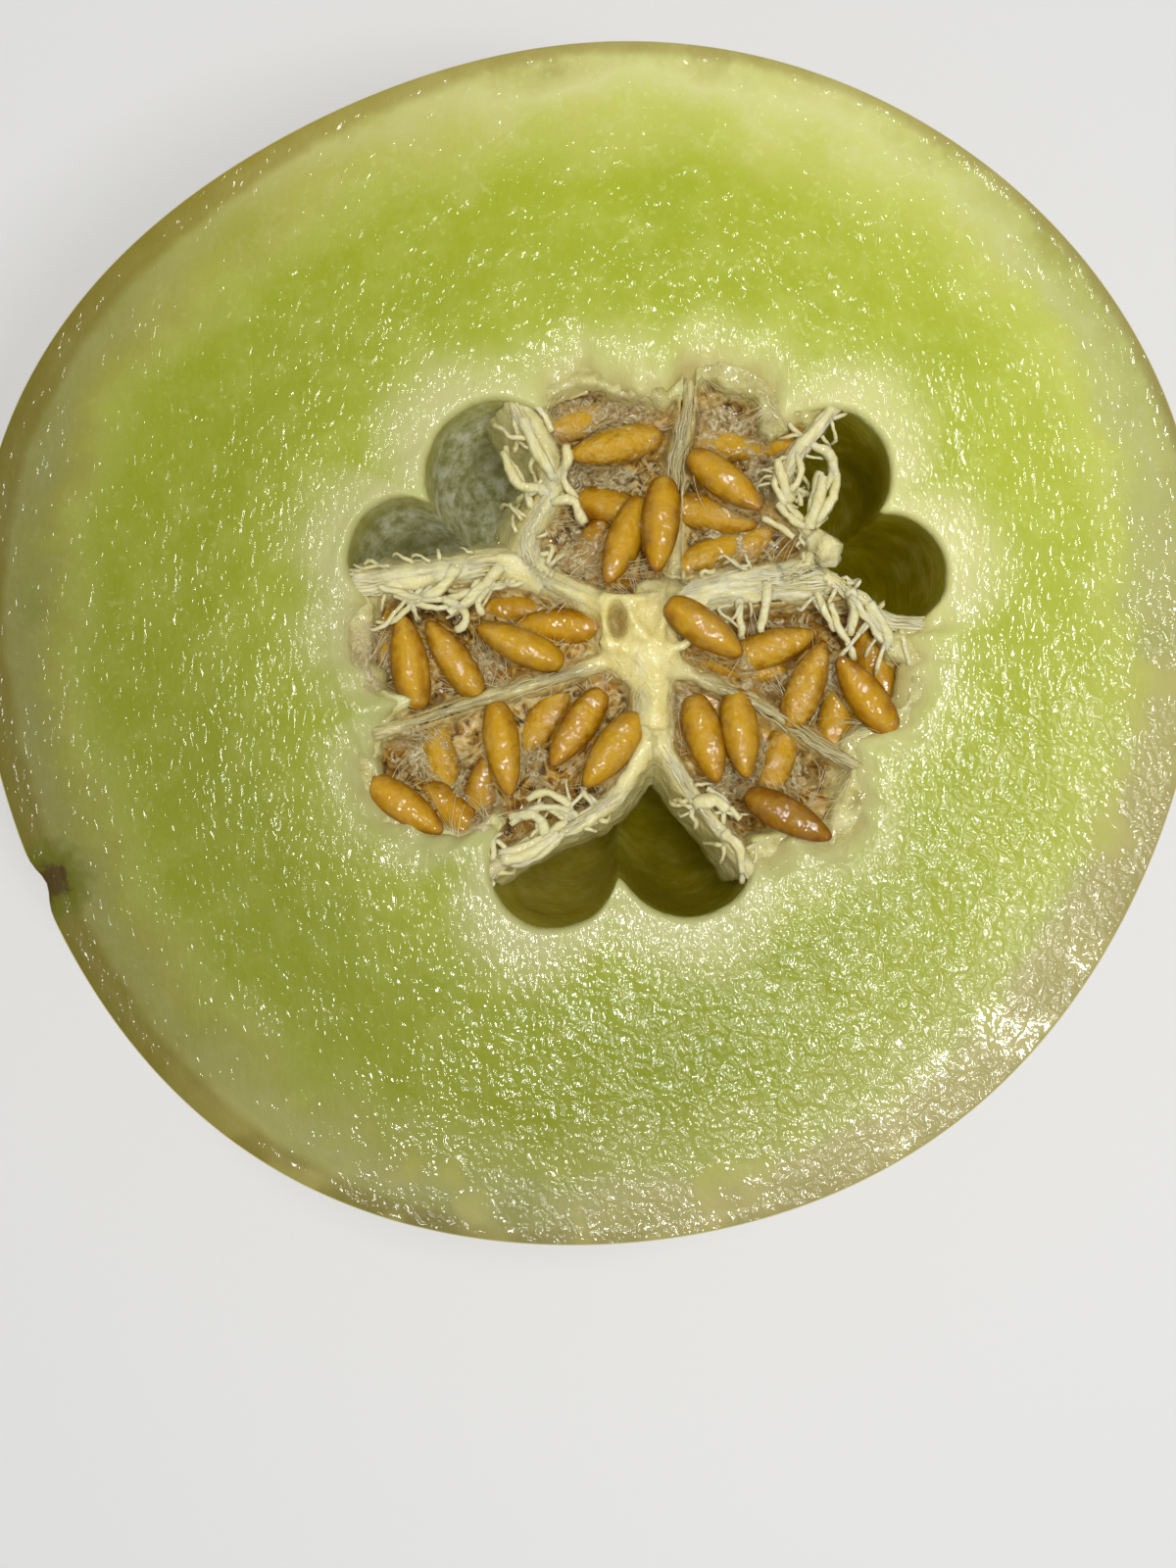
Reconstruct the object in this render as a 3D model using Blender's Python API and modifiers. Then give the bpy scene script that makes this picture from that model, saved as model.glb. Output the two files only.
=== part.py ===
# Half of a honeydew melon, cut across, lying on its rind with the cut face up.
# Metres, +Z up. The origin is the middle of the small flat spot that it rests on.
# The melon body is one grown piece. The white seed-bearing tissue and the six
# seed rows stand in its hollow.

import math

import bmesh
import bpy
from mathutils import Matrix, Vector
from mathutils.bvhtree import BVHTree

MM = 0.001

# Melon body
CUT_HEIGHT = 80.0 * MM          # base to cut face
RIND_RADIUS = 75.6 * MM         # mean radius at the cut
HALF_LENGTH = 81.3 * MM         # cut face to the blossom end, before the flat spot
# Each row is a wave round the rind: lobes, share of the radius, degrees to its first crest.
RIND_WAVES = ((1, 0.007, 14.0), (2, 0.015, 25.0), (3, 0.012, 37.0), (4, 0.006, -28.0), (5, 0.007, 17.0))
RIND_SEGMENTS = 56
RIND_RINGS = 30

# Hollow
HOLLOW_CENTRE = Vector((6.4 * MM, 0.2 * MM))
HOLLOW_DEPTH = 50.0 * MM
HOLLOW_FLOOR_POWER = 2.5        # above 2 the hollow's floor is blunter than an ellipsoid
HOLLOW_BASE_RADIUS = 29.5 * MM
# Each row is one scallop of the wall: degrees round the hollow, reach and scallop radius.
SCALLOPS = (
    (-10, 34.5 * MM, 7.0 * MM), (15, 39.4 * MM, 7.6 * MM), (42, 39.4 * MM, 8.2 * MM),
    (69, 35.0 * MM, 7.5 * MM), (100, 33.8 * MM, 9.0 * MM), (130, 36.4 * MM, 9.2 * MM),
    (160, 38.2 * MM, 7.2 * MM), (180, 35.4 * MM, 7.0 * MM), (212, 38.3 * MM, 9.0 * MM),
    (249, 37.8 * MM, 8.0 * MM), (283, 35.0 * MM, 8.8 * MM), (317, 33.8 * MM, 9.0 * MM),
)
SCALLOP_SHARPNESS = 60
HOLLOW_SEGMENTS = 64
HOLLOW_RINGS = 20
SLAB_RADIUS = 60.0 * MM         # room above the cut face for what stands out of the hollow
SLAB_HEIGHT = 20.0 * MM
SLAB_SEGMENTS = 32

# Gap kept between neighbouring pieces
CLEARANCE = 0.35 * MM

# Seed-bearing tissue. Each wall is a ribbon: thickness, then points of x, y and drop
# below the cut face, all in millimetres, from the core out to the flesh.
WALLS = {
    "core_tongue": (4.6, ((7.5, 2.0, 0.6), (8.0, -5.0, 0.8), (8.2, -12.0, 1.6))),
    "upper_left_a": (1.8, ((5.0, 3.5, 0.8), (-1.0, 6.2, 1.4), (-6.0, 9.0, 1.8), (-7.6, 13.6, 1.6),
                           (-4.6, 19.0, 1.4), (-5.4, 24.5, 1.2), (-8.4, 29.0, 1.0), (-9.8, 34.0, 1.0))),
    "upper_left_b": (2.6, ((-5.0, 8.2, 1.8), (-10.5, 9.8, 1.6), (-16.5, 9.2, 1.6), (-22.0, 8.4, 1.4),
                           (-27.0, 7.6, 1.0), (-33.0, 7.4, 0.8))),
    "right_d": (4.0, ((10.0, 5.0, 0.8), (17.0, 6.8, 1.0), (24.0, 7.6, 1.2), (30.0, 8.2, 1.4))),
    "right_d_end": (2.0, ((30.0, 8.2, 1.4), (34.0, 5.6, 1.6), (37.5, 2.9, 1.6), (42.0, 2.4, 1.4))),
    "right_c": (2.0, ((25.0, 7.8, 1.4), (28.2, 11.6, 1.2), (26.6, 15.4, 1.6), (24.6, 18.4, 2.2),
                      (25.4, 22.6, 1.8), (28.4, 26.4, 1.0), (31.0, 30.0, 1.0))),
    "bottom_e": (2.2, ((8.2, -11.0, 1.6), (11.0, -15.8, 1.8), (13.8, -20.2, 1.4), (17.2, -24.0, 1.4),
                       (20.0, -28.0, 1.4), (21.6, -32.0, 1.2))),
    "bottom_f": (2.2, ((8.0, -11.0, 1.6), (5.0, -17.4, 1.6), (0.8, -21.4, 1.4), (-4.8, -24.2, 1.2),
                       (-10.4, -27.2, 1.0), (-14.0, -30.0, 0.8))),
    "top_septum": (2.2, ((9.4, 3.0, 0.6), (10.8, 9.0, 2.6), (11.0, 16.0, 3.0), (11.0, 22.0, 1.6),
                         (12.2, 28.0, 0.8), (13.0, 36.0, 0.6))),
    "left_septum": (1.9, ((5.0, -1.2, 0.8), (-4.8, -4.6, 1.4), (-14.6, -7.4, 1.4), (-24.0, -10.6, 0.9),
                          (-32.0, -13.0, 0.7))),
    "right_septum": (1.8, ((10.0, -2.4, 0.8), (17.0, -5.6, 1.6), (23.0, -8.6, 1.8), (29.0, -12.6, 1.2),
                           (35.0, -16.0, 0.8))),
}
WALL_SAMPLES = 3                # stations between two given points of a wall or a finger
CORE_RADIUS = 5.4 * MM
CORE_DROP = 0.5 * MM
CORE_SEGMENTS = 14
TISSUE_RUN_ON = 5.0 * MM        # past the hollow's floor, before it is trimmed to the hollow

# White fingers of torn tissue: points of x, y and drop in millimetres from the root, in a
# wall, to the tip, and the root and tip radius.
FINGERS = (
    (((-8.0, 28.0, 1.4), (-6.6, 24.4, 0.8), (-4.0, 20.4, 1.0)), 0.8, 0.7),
    (((-4.6, 19.0, 2.0), (-8.6, 20.0, 1.6), (-10.8, 24.2, 2.6)), 0.8, 0.55),
    (((-4.0, 20.0, 2.2), (-2.6, 22.6, 1.0), (-2.8, 24.6, 0.8)), 0.75, 0.6),
    (((-16.5, 9.4, 1.8), (-19.0, 6.4, 1.4), (-22.6, 5.4, 1.8)), 0.9, 0.5),
    (((-11.0, 9.6, 2.0), (-14.0, 6.2, 1.4), (-17.4, 3.6, 1.6)), 0.9, 0.6),
    (((27.6, 14.4, 1.6), (28.6, 17.6, 0.9), (29.2, 20.6, 0.6)), 0.85, 0.7),
    (((28.4, 15.0, 2.0), (31.0, 19.4, 1.6), (30.2, 23.6, 1.4), (28.0, 24.9, 1.6)), 0.75, 0.6),
    (((25.4, 18.0, 2.2), (24.2, 20.4, 1.0), (23.6, 22.8, 0.9)), 0.8, 0.6),
    (((28.6, 12.8, 1.6), (29.8, 11.4, -0.4), (29.9, 10.4, 0.8)), 1.6, 1.7),
    (((33.0, 6.6, 1.6), (33.2, 3.6, 1.4), (32.9, 1.2, 2.2)), 0.8, 0.6),
    (((35.0, 5.0, 1.6), (37.4, 1.4, 1.4), (37.2, -0.6, 2.2)), 0.8, 0.6),
    (((22.6, 7.6, 1.4), (22.0, 3.8, 1.6), (21.8, 1.6, 2.4)), 0.7, 0.5),
    (((19.2, 7.0, 1.4), (19.0, 3.6, 1.8), (19.4, 0.6, 2.6)), 0.6, 0.45),
    (((-10.6, -27.0, 1.2), (-7.4, -26.4, 0.8), (-3.6, -23.8, 1.0)), 0.9, 0.7),
    (((-5.0, -24.0, 1.2), (-6.8, -21.4, 1.2), (-9.8, -21.8, 1.8)), 0.8, 0.6),
    (((13.4, -20.0, 1.6), (15.6, -19.6, 0.8), (17.4, -20.6, 1.2)), 1.1, 0.7),
    (((17.0, -23.8, 1.6), (18.6, -25.2, 0.8), (19.4, -28.6, 1.6)), 0.9, 0.5),
)

# Seeds
SEED_LENGTH = 11.8 * MM
SEED_WIDTH = 4.6 * MM
SEED_THICKNESS = 2.7 * MM
SEED_SEGMENTS = 8
SEED_RINGS = 7
SEED_TAPER = 0.16               # thinner toward the point, thicker toward the blunt end
SEED_WAIST = 0.14               # thinner toward both ends
SEED_BED_DROP = 7.0 * MM        # top of the pulp that the seeds stand out of
MOUND_BASE_RADIUS = 3.6 * MM    # pulp clings under each seed in a mound
MOUND_TOP_RADIUS = 1.8 * MM
MOUND_SEGMENTS = 6
MOUND_SINK = 1.0 * MM           # how far a mound reaches down into the bed
MOUND_LEAST_DEPTH = 0.5 * MM
BED_RADIUS = 50.0 * MM          # before it is trimmed to its pocket
BED_SEGMENTS = 48
BED_RUN_ON = 4.0 * MM           # past the hollow's floor, before it is trimmed to the hollow
# Each seed: x, y and drop of its middle in millimetres, then the way its point faces and
# its nose-up tilt in degrees.
SEEDS = {
    "seeds_top_left": (
        (3.4, 24.9, 2.4, 194, 4), (3.2, 17.6, 4.6, 348, 6), (4.6, 13.0, 2.4, 248, 8),
        (9.0, 14.6, 0.3, 265, 4), (-0.4, 11.8, 5.6, 60, 10), (-1.6, 28.4, 5.4, 200, 12),
    ),
    "seeds_top_right": (
        (17.2, 20.2, 1.2, 322, 6), (15.8, 16.6, 4.6, 346, 4), (15.2, 11.4, 5.2, 205, 6),
        (19.4, 12.0, 5.8, 40, 8), (17.0, 25.8, 5.4, 350, 4), (24.2, 25.6, 4.6, 10, 16),
    ),
    "seeds_left_upper": (
        (-22.4, -2.3, 2.2, 99, 4), (-16.9, -2.0, 3.0, 124, 6), (-8.5, -0.3, 1.8, 157, 6),
        (-3.8, 2.4, 4.4, 178, -4), (-10.6, 5.0, 5.8, 175, 0), (-26.6, 2.2, 5.2, 100, 0),
    ),
    "seeds_left_lower": (
        (-10.7, -13.1, 2.0, 279, 6), (-5.7, -9.4, 4.8, 238, 4), (-1.4, -10.6, 2.6, 236, 4),
        (3.0, -13.4, 1.6, 233, 8), (-19.0, -13.6, 5.4, 100, 6), (-13.8, -19.4, 5.2, 80, 10),
        (-22.8, -20.4, 2.0, 325, 4), (-16.6, -21.8, 4.2, 315, 4),
    ),
    "seeds_right_upper": (
        (14.4, 1.6, -0.6, 325, 0), (23.0, -0.4, 4.2, 18, 4), (27.4, -5.2, 2.2, 68, 4),
        (34.6, -6.6, 1.2, 127, 8), (31.4, -9.4, 4.6, 85, 0), (36.4, -2.0, 5.2, 110, 0),
        (19.8, -2.6, 5.4, 350, 0),
    ),
    "seeds_right_lower": (
        (14.7, -11.9, 2.2, 286, 6), (19.1, -11.3, 1.8, 277, 8), (12.4, -9.0, 5.6, 275, 0),
        (16.6, -8.4, 5.6, 300, 0), (23.8, -15.4, 4.6, 252, 4), (25.0, -21.6, 0.9, 332, 6),
        (22.4, -12.4, 6.0, 270, 0),
    ),
}
# A point inside each pocket of the hollow, in millimetres, that its seed row fills.
POCKETS = {
    "seeds_top_left": (2.0, 22.0),
    "seeds_top_right": (19.0, 20.0),
    "seeds_left_upper": (-17.0, 0.5),
    "seeds_left_lower": (-12.0, -16.0),
    "seeds_right_upper": (27.0, -1.5),
    "seeds_right_lower": (18.0, -15.0),
}

# Height above the cut face from which a loose body is looked for, straight below
LOOK_FROM = 10.0 * MM

# Distances below which points count as one
CUT_TOLERANCE = 1e-7
MERGE_DISTANCE = 1e-6

# Finishes: linear red, green and blue, roughness, and the angle in degrees above which an
# edge stays sharp
MELON_FINISH = ((0.45, 0.53, 0.16), 0.35, 40.0)
TISSUE_FINISH = ((0.68, 0.62, 0.36), 0.4, 50.0)
SEED_FINISH = ((0.54, 0.28, 0.03), 0.3, 60.0)


def clear_scene():
    for obj in list(bpy.data.objects):
        bpy.data.objects.remove(obj, do_unlink=True)


def new_collection(name):
    collection = bpy.data.collections.new(name)
    bpy.context.scene.collection.children.link(collection)
    return collection


def make_material(name, finish):
    colour, roughness, _ = finish
    material = bpy.data.materials.new(name)
    material.use_nodes = True
    shader = material.node_tree.nodes["Principled BSDF"]
    shader.inputs["Base Color"].default_value = (*colour, 1.0)
    shader.inputs["Roughness"].default_value = roughness
    shader.inputs["Metallic"].default_value = 0.0
    return material


def object_from_bmesh(name, bm, collection):
    bmesh.ops.recalc_face_normals(bm, faces=bm.faces)
    mesh = bpy.data.meshes.new(name)
    bm.to_mesh(mesh)
    bm.free()
    obj = bpy.data.objects.new(name, mesh)
    collection.objects.link(obj)
    return obj


def hide_helper(obj):
    obj.hide_render = True
    obj.display_type = "WIRE"
    return obj


def boolean(obj, operation, other, solver="MANIFOLD"):
    """Adds a Boolean with an object, or with all the objects of a collection."""
    modifier = obj.modifiers.new(operation.lower(), "BOOLEAN")
    modifier.operation = operation
    modifier.solver = solver
    if isinstance(other, bpy.types.Collection):
        modifier.operand_type = "COLLECTION"
        modifier.collection = other
    else:
        modifier.object = other


def apply_modifiers(obj):
    graph = bpy.context.evaluated_depsgraph_get()
    obj.data = bpy.data.meshes.new_from_object(obj.evaluated_get(graph))
    obj.modifiers.clear()


def remove_objects(objects):
    for obj in list(objects):
        bpy.data.objects.remove(obj, do_unlink=True)


def keep_body_at(obj, place):
    """Keeps the one loose body whose top is straight below this place, and drops the rest."""
    bm = bmesh.new()
    bm.from_mesh(obj.data)
    bm.faces.ensure_lookup_table()
    hit = BVHTree.FromBMesh(bm).ray_cast(place, Vector((0, 0, -1)))[2]
    body = set()
    stack = list(bm.faces[hit].verts)
    while stack:
        vert = stack.pop()
        if vert not in body:
            body.add(vert)
            stack.extend(edge.other_vert(vert) for edge in vert.link_edges)
    bmesh.ops.delete(bm, geom=[v for v in bm.verts if v not in body], context="VERTS")
    bm.to_mesh(obj.data)
    bm.free()


def rind_radius(angle):
    """Radius of the rind at the cut, at this angle in radians."""
    waves = sum(
        share * math.cos(lobes * (angle - math.radians(crest))) for lobes, share, crest in RIND_WAVES
    )
    return RIND_RADIUS * (1.0 + waves)


def scallop_exit(angle, facing, reach, radius):
    """How far out a ray at this angle leaves one scallop's circle, or 0 where it misses it."""
    turn = angle - math.radians(facing)
    middle = reach - radius
    inside = radius**2 - (middle * math.sin(turn)) ** 2
    if inside < 0.0 or math.cos(turn) < 0.0:
        return 0.0
    return middle * math.cos(turn) + math.sqrt(inside)


def hollow_radius(angle):
    """Radius of the hollow at the cut: a soft maximum of its scallops."""
    exits = [HOLLOW_BASE_RADIUS] + [scallop_exit(angle, *scallop) for scallop in SCALLOPS]
    top = max(exits)
    total = sum((value / top) ** SCALLOP_SHARPNESS for value in exits)
    return top * total ** (1.0 / SCALLOP_SHARPNESS)


def melon_body(collection, hollow):
    """Flesh and rind, grown as one piece."""
    bm = bmesh.new()
    bmesh.ops.create_uvsphere(bm, u_segments=RIND_SEGMENTS, v_segments=RIND_RINGS, radius=1.0)
    for vert in bm.verts:
        angle = math.atan2(vert.co.y, vert.co.x)
        across = math.hypot(vert.co.x, vert.co.y) * rind_radius(angle)
        vert.co = (
            across * math.cos(angle), across * math.sin(angle), CUT_HEIGHT + vert.co.z * HALF_LENGTH
        )
    for height, facing in ((CUT_HEIGHT, 1.0), (0.0, -1.0)):
        found = bmesh.ops.bisect_plane(
            bm, geom=bm.verts[:] + bm.edges[:] + bm.faces[:], dist=CUT_TOLERANCE,
            plane_co=(0, 0, height), plane_no=(0, 0, facing), clear_outer=True,
        )
        rim = [item for item in found["geom_cut"] if isinstance(item, bmesh.types.BMEdge)]
        bmesh.ops.contextual_create(bm, geom=rim)
    body = object_from_bmesh("melon_half", bm, collection)
    boolean(body, "DIFFERENCE", hollow)
    return body


def hollow_shape(name, collection, inset):
    """The seed hollow as a closed shape, drawn in by the inset. It runs on above the cut."""
    bm = bmesh.new()
    bmesh.ops.create_uvsphere(bm, u_segments=HOLLOW_SEGMENTS, v_segments=HOLLOW_RINGS, radius=1.0)
    for vert in bm.verts:
        angle = math.atan2(vert.co.y, vert.co.x)
        depth = abs(vert.co.z)
        share = (1.0 - depth**HOLLOW_FLOOR_POWER) ** 0.5 if depth < 1.0 else 0.0
        across = share * (hollow_radius(angle) - inset)
        vert.co = (
            HOLLOW_CENTRE.x + across * math.cos(angle),
            HOLLOW_CENTRE.y + across * math.sin(angle),
            CUT_HEIGHT + vert.co.z * (HOLLOW_DEPTH - 2.0 * inset),
        )
    return hide_helper(object_from_bmesh(name, bm, collection))


def room_shape(collection):
    """Where the contents of the hollow may be: the hollow, and a slab above the cut face."""
    room = hollow_shape("room", collection, CLEARANCE)
    bpy.ops.mesh.primitive_cylinder_add(
        vertices=SLAB_SEGMENTS, radius=SLAB_RADIUS, depth=SLAB_HEIGHT,
        location=(0, 0, CUT_HEIGHT + CLEARANCE + SLAB_HEIGHT / 2),
    )
    slab = bpy.context.object
    boolean(room, "UNION", slab)
    apply_modifiers(room)
    remove_objects([slab])
    return room


def smooth_route(points):
    """Stations along a Catmull-Rom curve through the points, as vectors in metres."""
    knots = [Vector(p) * MM for p in points]
    knots = [2 * knots[0] - knots[1], *knots, 2 * knots[-1] - knots[-2]]
    route = []
    for i in range(1, len(knots) - 2):
        a, b, c, d = knots[i - 1:i + 3]
        for step in range(WALL_SAMPLES):
            t = step / WALL_SAMPLES
            route.append(
                0.5 * (2 * b + (c - a) * t + (2 * a - 5 * b + 4 * c - d) * t**2
                       + (3 * b - a - 3 * c + d) * t**3)
            )
    route.append(knots[-2])
    return route


def wall_ribbon(name, thickness, points, grow, collection):
    """One upright wall of the tissue, from its top edge down past the hollow's floor."""
    bm = bmesh.new()
    floor = CUT_HEIGHT - HOLLOW_DEPTH - TISSUE_RUN_ON
    columns = []
    for station in smooth_route(points):
        top = CUT_HEIGHT - station.z + grow
        columns.append([bm.verts.new((station.x, station.y, z)) for z in (top, floor)])
    for left, right in zip(columns, columns[1:]):
        bm.faces.new((left[0], left[1], right[1], right[0]))
    ribbon = object_from_bmesh(name, bm, collection)
    solidify = ribbon.modifiers.new("thickness", "SOLIDIFY")
    solidify.thickness = thickness * MM + 2.0 * grow
    solidify.offset = 0.0
    apply_modifiers(ribbon)
    return ribbon


def core_column(name, grow, collection):
    """The middle of the tissue, where its walls meet."""
    bm = bmesh.new()
    top = CUT_HEIGHT - CORE_DROP + grow
    floor = CUT_HEIGHT - HOLLOW_DEPTH - TISSUE_RUN_ON
    bmesh.ops.create_cone(
        bm, cap_ends=True, segments=CORE_SEGMENTS, depth=top - floor,
        radius1=CORE_RADIUS + grow, radius2=CORE_RADIUS + grow,
        matrix=Matrix.Translation((HOLLOW_CENTRE.x, HOLLOW_CENTRE.y, (top + floor) / 2)),
    )
    return object_from_bmesh(name, bm, collection)


def finger(name, points, root_radius, tip_radius, grow, collection):
    """One tapering finger of torn tissue, as a curve made into a mesh."""
    route = smooth_route(points)
    curve = bpy.data.curves.new(name, "CURVE")
    curve.dimensions = "3D"
    curve.bevel_depth = 1.0
    curve.bevel_resolution = 0
    curve.use_fill_caps = True
    spline = curve.splines.new("POLY")
    spline.points.add(len(route) - 1)
    for i, (point, station) in enumerate(zip(spline.points, route)):
        share = i / (len(route) - 1)
        point.co = (station.x, station.y, CUT_HEIGHT - station.z, 1.0)
        point.radius = (root_radius + (tip_radius - root_radius) * share) * MM + grow
    drawn = bpy.data.objects.new(name, curve)
    collection.objects.link(drawn)
    graph = bpy.context.evaluated_depsgraph_get()
    mesh = bpy.data.meshes.new_from_object(drawn.evaluated_get(graph))
    bpy.data.objects.remove(drawn, do_unlink=True)
    bm = bmesh.new()
    bm.from_mesh(mesh)
    bmesh.ops.remove_doubles(bm, verts=bm.verts, dist=MERGE_DISTANCE)
    return object_from_bmesh(name, bm, collection)


def tissue(name, collection, grow):
    """The seed-bearing tissue in one body, grown all round, and running on past the hollow."""
    parts = new_collection(name + "_parts")
    core = core_column(name, grow, collection)
    for wall, (thickness, points) in WALLS.items():
        wall_ribbon(wall, thickness, points, grow, parts)
    for i, (points, root_radius, tip_radius) in enumerate(FINGERS):
        finger(f"finger_{i}", points, root_radius, tip_radius, grow, parts)
    boolean(core, "UNION", parts)
    apply_modifiers(core)
    remove_objects(parts.objects)
    bpy.data.collections.remove(parts)
    return core


def seed_body(name, x, y, drop, facing, tilt, collection):
    """One seed: a plump flattened drop, rounded at one end and pointed at the other."""
    bm = bmesh.new()
    bmesh.ops.create_uvsphere(bm, u_segments=SEED_SEGMENTS, v_segments=SEED_RINGS, radius=1.0)
    for vert in bm.verts:
        along = vert.co.z
        girth = 1.0 - SEED_TAPER * along - SEED_WAIST * along**2
        vert.co = Vector((
            along * SEED_LENGTH / 2,
            vert.co.x * girth * SEED_WIDTH / 2,
            vert.co.y * girth * SEED_THICKNESS / 2,
        ))
    turn = Matrix.Rotation(math.radians(facing), 4, "Z") @ Matrix.Rotation(-math.radians(tilt), 4, "Y")
    place = Matrix.Translation((x * MM, y * MM, CUT_HEIGHT - drop * MM))
    bmesh.ops.transform(bm, matrix=place @ turn, verts=bm.verts)
    return object_from_bmesh(name, bm, collection)


def pulp_mound(name, x, y, drop, collection):
    """The pulp that clings under one seed and holds it to the rest of its row."""
    bm = bmesh.new()
    top = CUT_HEIGHT - drop * MM
    floor = CUT_HEIGHT - SEED_BED_DROP - MOUND_SINK
    depth = max(top - floor, MOUND_LEAST_DEPTH)
    bmesh.ops.create_cone(
        bm, cap_ends=True, segments=MOUND_SEGMENTS, depth=depth, radius1=MOUND_BASE_RADIUS,
        radius2=MOUND_TOP_RADIUS, matrix=Matrix.Translation((x * MM, y * MM, floor + depth / 2)),
    )
    return object_from_bmesh(name, bm, collection)


def seed_row(name, collection, room, grown_tissue):
    """One pocket of the hollow filled with pulp, and the seeds that stand out of it."""
    bm = bmesh.new()
    top = CUT_HEIGHT - SEED_BED_DROP
    floor = CUT_HEIGHT - HOLLOW_DEPTH - BED_RUN_ON
    bmesh.ops.create_cone(
        bm, cap_ends=True, segments=BED_SEGMENTS, depth=top - floor, radius1=BED_RADIUS, radius2=BED_RADIUS,
        matrix=Matrix.Translation((HOLLOW_CENTRE.x, HOLLOW_CENTRE.y, (top + floor) / 2)),
    )
    row = object_from_bmesh(name, bm, collection)
    parts = new_collection(name + "_parts")
    for i, seed in enumerate(SEEDS[name]):
        seed_body(f"{name}_seed_{i}", *seed, parts)
        pulp_mound(f"{name}_mound_{i}", *seed[:3], parts)
    boolean(row, "UNION", parts)
    boolean(row, "INTERSECT", room)
    boolean(row, "DIFFERENCE", grown_tissue)
    apply_modifiers(row)
    remove_objects(parts.objects)
    bpy.data.collections.remove(parts)
    x, y = POCKETS[name]
    keep_body_at(row, Vector((x * MM, y * MM, CUT_HEIGHT + LOOK_FROM)))
    return row


def finish_surface(obj, material, finish):
    sharp_angle = finish[2]
    obj.data.materials.clear()
    obj.data.materials.append(material)
    obj.data.shade_smooth()
    obj.data.set_sharp_from_angle(angle=math.radians(sharp_angle))


def main():
    clear_scene()
    melon = new_collection("honeydew_half")
    helpers = new_collection("helpers")
    flesh_material = make_material("melon_flesh", MELON_FINISH)
    tissue_material = make_material("seed_tissue", TISSUE_FINISH)
    seed_material = make_material("seed_coat", SEED_FINISH)

    hollow = hollow_shape("hollow", helpers, 0.0)
    room = room_shape(helpers)
    body = melon_body(melon, hollow)
    apply_modifiers(body)
    finish_surface(body, flesh_material, MELON_FINISH)

    placenta = tissue("placenta", melon, 0.0)
    boolean(placenta, "INTERSECT", room)
    apply_modifiers(placenta)
    keep_body_at(placenta, Vector((*HOLLOW_CENTRE, CUT_HEIGHT + LOOK_FROM)))
    finish_surface(placenta, tissue_material, TISSUE_FINISH)

    grown_tissue = hide_helper(tissue("grown_tissue", helpers, CLEARANCE))
    for name in SEEDS:
        row = seed_row(name, melon, room, grown_tissue)
        finish_surface(row, seed_material, SEED_FINISH)

    remove_objects(helpers.objects)
    bpy.data.collections.remove(helpers)


main()
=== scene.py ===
import math

import bmesh
import bpy
import numpy as np
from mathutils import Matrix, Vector
from mathutils.kdtree import KDTree


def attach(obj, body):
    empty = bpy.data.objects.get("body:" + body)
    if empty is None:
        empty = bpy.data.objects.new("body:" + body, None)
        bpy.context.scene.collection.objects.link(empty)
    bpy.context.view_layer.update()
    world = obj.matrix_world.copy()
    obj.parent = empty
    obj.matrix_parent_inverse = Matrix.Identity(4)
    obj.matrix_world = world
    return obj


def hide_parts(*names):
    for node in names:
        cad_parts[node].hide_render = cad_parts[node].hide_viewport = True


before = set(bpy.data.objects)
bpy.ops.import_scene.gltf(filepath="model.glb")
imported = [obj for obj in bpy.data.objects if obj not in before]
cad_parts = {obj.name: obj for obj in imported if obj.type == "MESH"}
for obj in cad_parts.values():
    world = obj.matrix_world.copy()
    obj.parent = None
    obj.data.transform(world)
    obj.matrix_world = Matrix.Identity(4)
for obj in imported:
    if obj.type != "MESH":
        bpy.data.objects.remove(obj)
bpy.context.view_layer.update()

mm = 0.001

# Sizes shared by several pieces. They repeat the solids' own, and x and y lie in the cut face.
melon = {
    "cutHeight": 80 * mm,
    "rindRadius": 75.6 * mm,
    "halfLength": 81.3 * mm,
    "rindWaves": [(1, 0.007, 14), (2, 0.015, 25), (3, 0.012, 37), (4, 0.006, -28), (5, 0.007, 17)],
    "hollowCentre": (6.4 * mm, 0.2 * mm),
    "hollowDepth": 50 * mm,
    "floorPower": 2.5,
    "hollowBase": 29.5,
    "scallops": [  # degrees, reach and scallop radius in mm
        (-10, 34.5, 7.0), (15, 39.4, 7.6), (42, 39.4, 8.2), (69, 35.0, 7.5), (100, 33.8, 9.0),
        (130, 36.4, 9.2), (160, 38.2, 7.2), (180, 35.4, 7.0), (212, 38.3, 9.0), (249, 37.8, 8.0),
        (283, 35.0, 8.8), (317, 33.8, 9.0),
    ],
    "scallopSharpness": 60,
}
cutHeight = melon["cutHeight"]


def linear(red, green, blue):
    # display colour, 0 to 255, to the linear values that shaders take
    parts = [c / 255 for c in (red, green, blue)]
    return [c / 12.92 if c <= 0.04045 else ((c + 0.055) / 1.055) ** 2.4 for c in parts] + [1.0]


def latticeValue(ix, iy, iz, seed):
    mixed = (ix * 374761393 + iy * 668265263 + iz * 1442695041 + seed * 1274126177) & 0xFFFFFFFF
    mixed = ((mixed ^ (mixed >> 13)) * 1274126177) & 0xFFFFFFFF
    return ((mixed ^ (mixed >> 16)) & 0xFFFF) / 32767.5 - 1


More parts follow.
